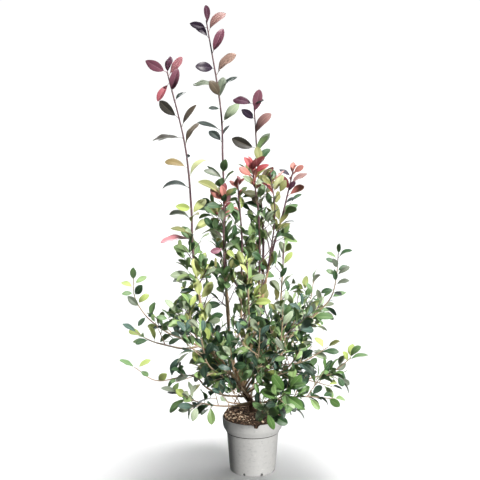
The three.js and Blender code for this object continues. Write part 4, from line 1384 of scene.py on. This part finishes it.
# Suns as broad as their spread, with the way and height that they shine from, all in degrees, and the group
# of pieces that each is kept to. What isn't in that group casts no shade in the light of UNSHADED ones, so
# the low one reaches the compost through the leaves and the bounce reaches the pot through the floor.
LAMPS = {
    "key": dict(way=-50, height=31, spread=8, strength=6.0, colour=(1, 0.975, 0.94), lit="plant"),
    "front": dict(way=-58, height=18, spread=8, strength=3.25, colour=(1, 0.98, 0.95), lit="pot"),
    "bounce": dict(way=-60, height=-22, spread=30, strength=1.9, colour=(1, 0.99, 0.97), lit="pot"),
    "low": dict(way=-95, height=42, spread=20, strength=3.6, colour=(1, 0.97, 0.93), lit="bed"),
    "back": dict(way=108, height=22, spread=20, strength=2.2, colour=(1, 1, 1), lit="model"),
    "fill": dict(way=0, height=90, spread=40, strength=0.65, colour=(1, 1, 1), lit="floor"),
    "top": dict(way=10, height=80, spread=36, strength=3.4, colour=(1, 1, 1), lit=None),
}
UNSHADED = ("bounce", "low", "fill")


def add_lamp(name, way, height, spread, strength, colour, lit):
    """A lamp for the whole stage, or one that is kept to a group of pieces."""
    light = bpy.data.lights.new(name, "SUN")
    light.angle = math.radians(spread)
    light.energy = strength
    light.color = colour
    lamp = bpy.data.objects.new(name, light)
    lamp.rotation_euler = (math.radians(90 - height), 0, math.radians(way + 90))
    if lit:
        lamp.light_linking.receiver_collection = LIT[lit]
    if name in UNSHADED:
        lamp.light_linking.blocker_collection = LIT[lit]
    bpy.context.scene.collection.objects.link(lamp)


def add_world():
    """White all round to the eye, and a dim, even sky for the light."""
    world = bpy.data.worlds.new("studio")
    bpy.context.scene.world = world
    world.use_nodes = True
    tree = world.node_tree
    sky = tree.nodes["Background"]
    sky.inputs["Color"].default_value = STAGE.sky_colour
    sky.inputs["Strength"].default_value = STAGE.sky
    shown = add_node(tree, "ShaderNodeBackground", Color=(1, 1, 1, 1), Strength=STAGE.white)
    rays = add_node(tree, "ShaderNodeLightPath")
    mix = add_node(tree, "ShaderNodeMixShader")
    tree.links.new(rays.outputs["Is Camera Ray"], mix.inputs[0])
    tree.links.new(sky.outputs[0], mix.inputs[1])
    tree.links.new(shown.outputs[0], mix.inputs[2])
    tree.links.new(mix.outputs[0], tree.nodes["World Output"].inputs["Surface"])


def add_floor():
    """A wide white floor that takes shadows but throws no light back on the plant."""
    white = new_material("floor", "#f2f2f2", 0.9, 0.0)
    corners = ring(STAGE.floor_radius, 0, STAGE.floor_sides)
    floor = mesh_object("floor", corners, [tuple(range(len(corners)))], [white])
    floor.visible_diffuse = False
    floor.visible_glossy = False
    LIT["floor"].objects.link(floor)
    floor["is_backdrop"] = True


def add_camera():
    data = bpy.data.cameras.new("camera")
    data.sensor_width = VIEW.sensor
    data.lens = VIEW.lens
    camera = bpy.data.objects.new("camera", data)
    camera.location = Vector(VIEW.eye) * MM
    camera.rotation_euler = (math.radians(VIEW.lean), 0, 0)
    bpy.context.scene.collection.objects.link(camera)
    bpy.context.scene.camera = camera


def add_stage():
    add_camera()
    add_world()
    add_floor()
    for name, lamp in LAMPS.items():
        add_lamp(name, **lamp)
    bpy.context.scene.view_settings.view_transform = "Standard"


def write_sizes():
    """The CAD box and the dressed model's box as plain lists; they are not compared or written."""
    boxes = {"cad": cad_box, "visual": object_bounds()}
    plain = {name: [list(corner) for corner in box] for name, box in boxes.items()}


# ---- The scene ----

limbs = lay_out_limbs()
leaf_looks, twig_looks = leaf_materials(), twig_materials()
for mass in grow_masses(limbs):
    add_mass_pieces(mass, leaf_looks, twig_looks)
# The trunk's bark is a darker copy of the boughs', painted shade for the shade round its foot.
add_trunk(limbs, bark_material("bark_trunk_shaded", ("foot", "foot_shade", "dark", "mid")))
add_boughs(limbs, bark_material("bark", ("dark", "mid", "tan", "pale")))
add_pot(pot_materials())
add_compost(compost_material())
add_chips(chip_materials())
add_stage()
write_sizes()
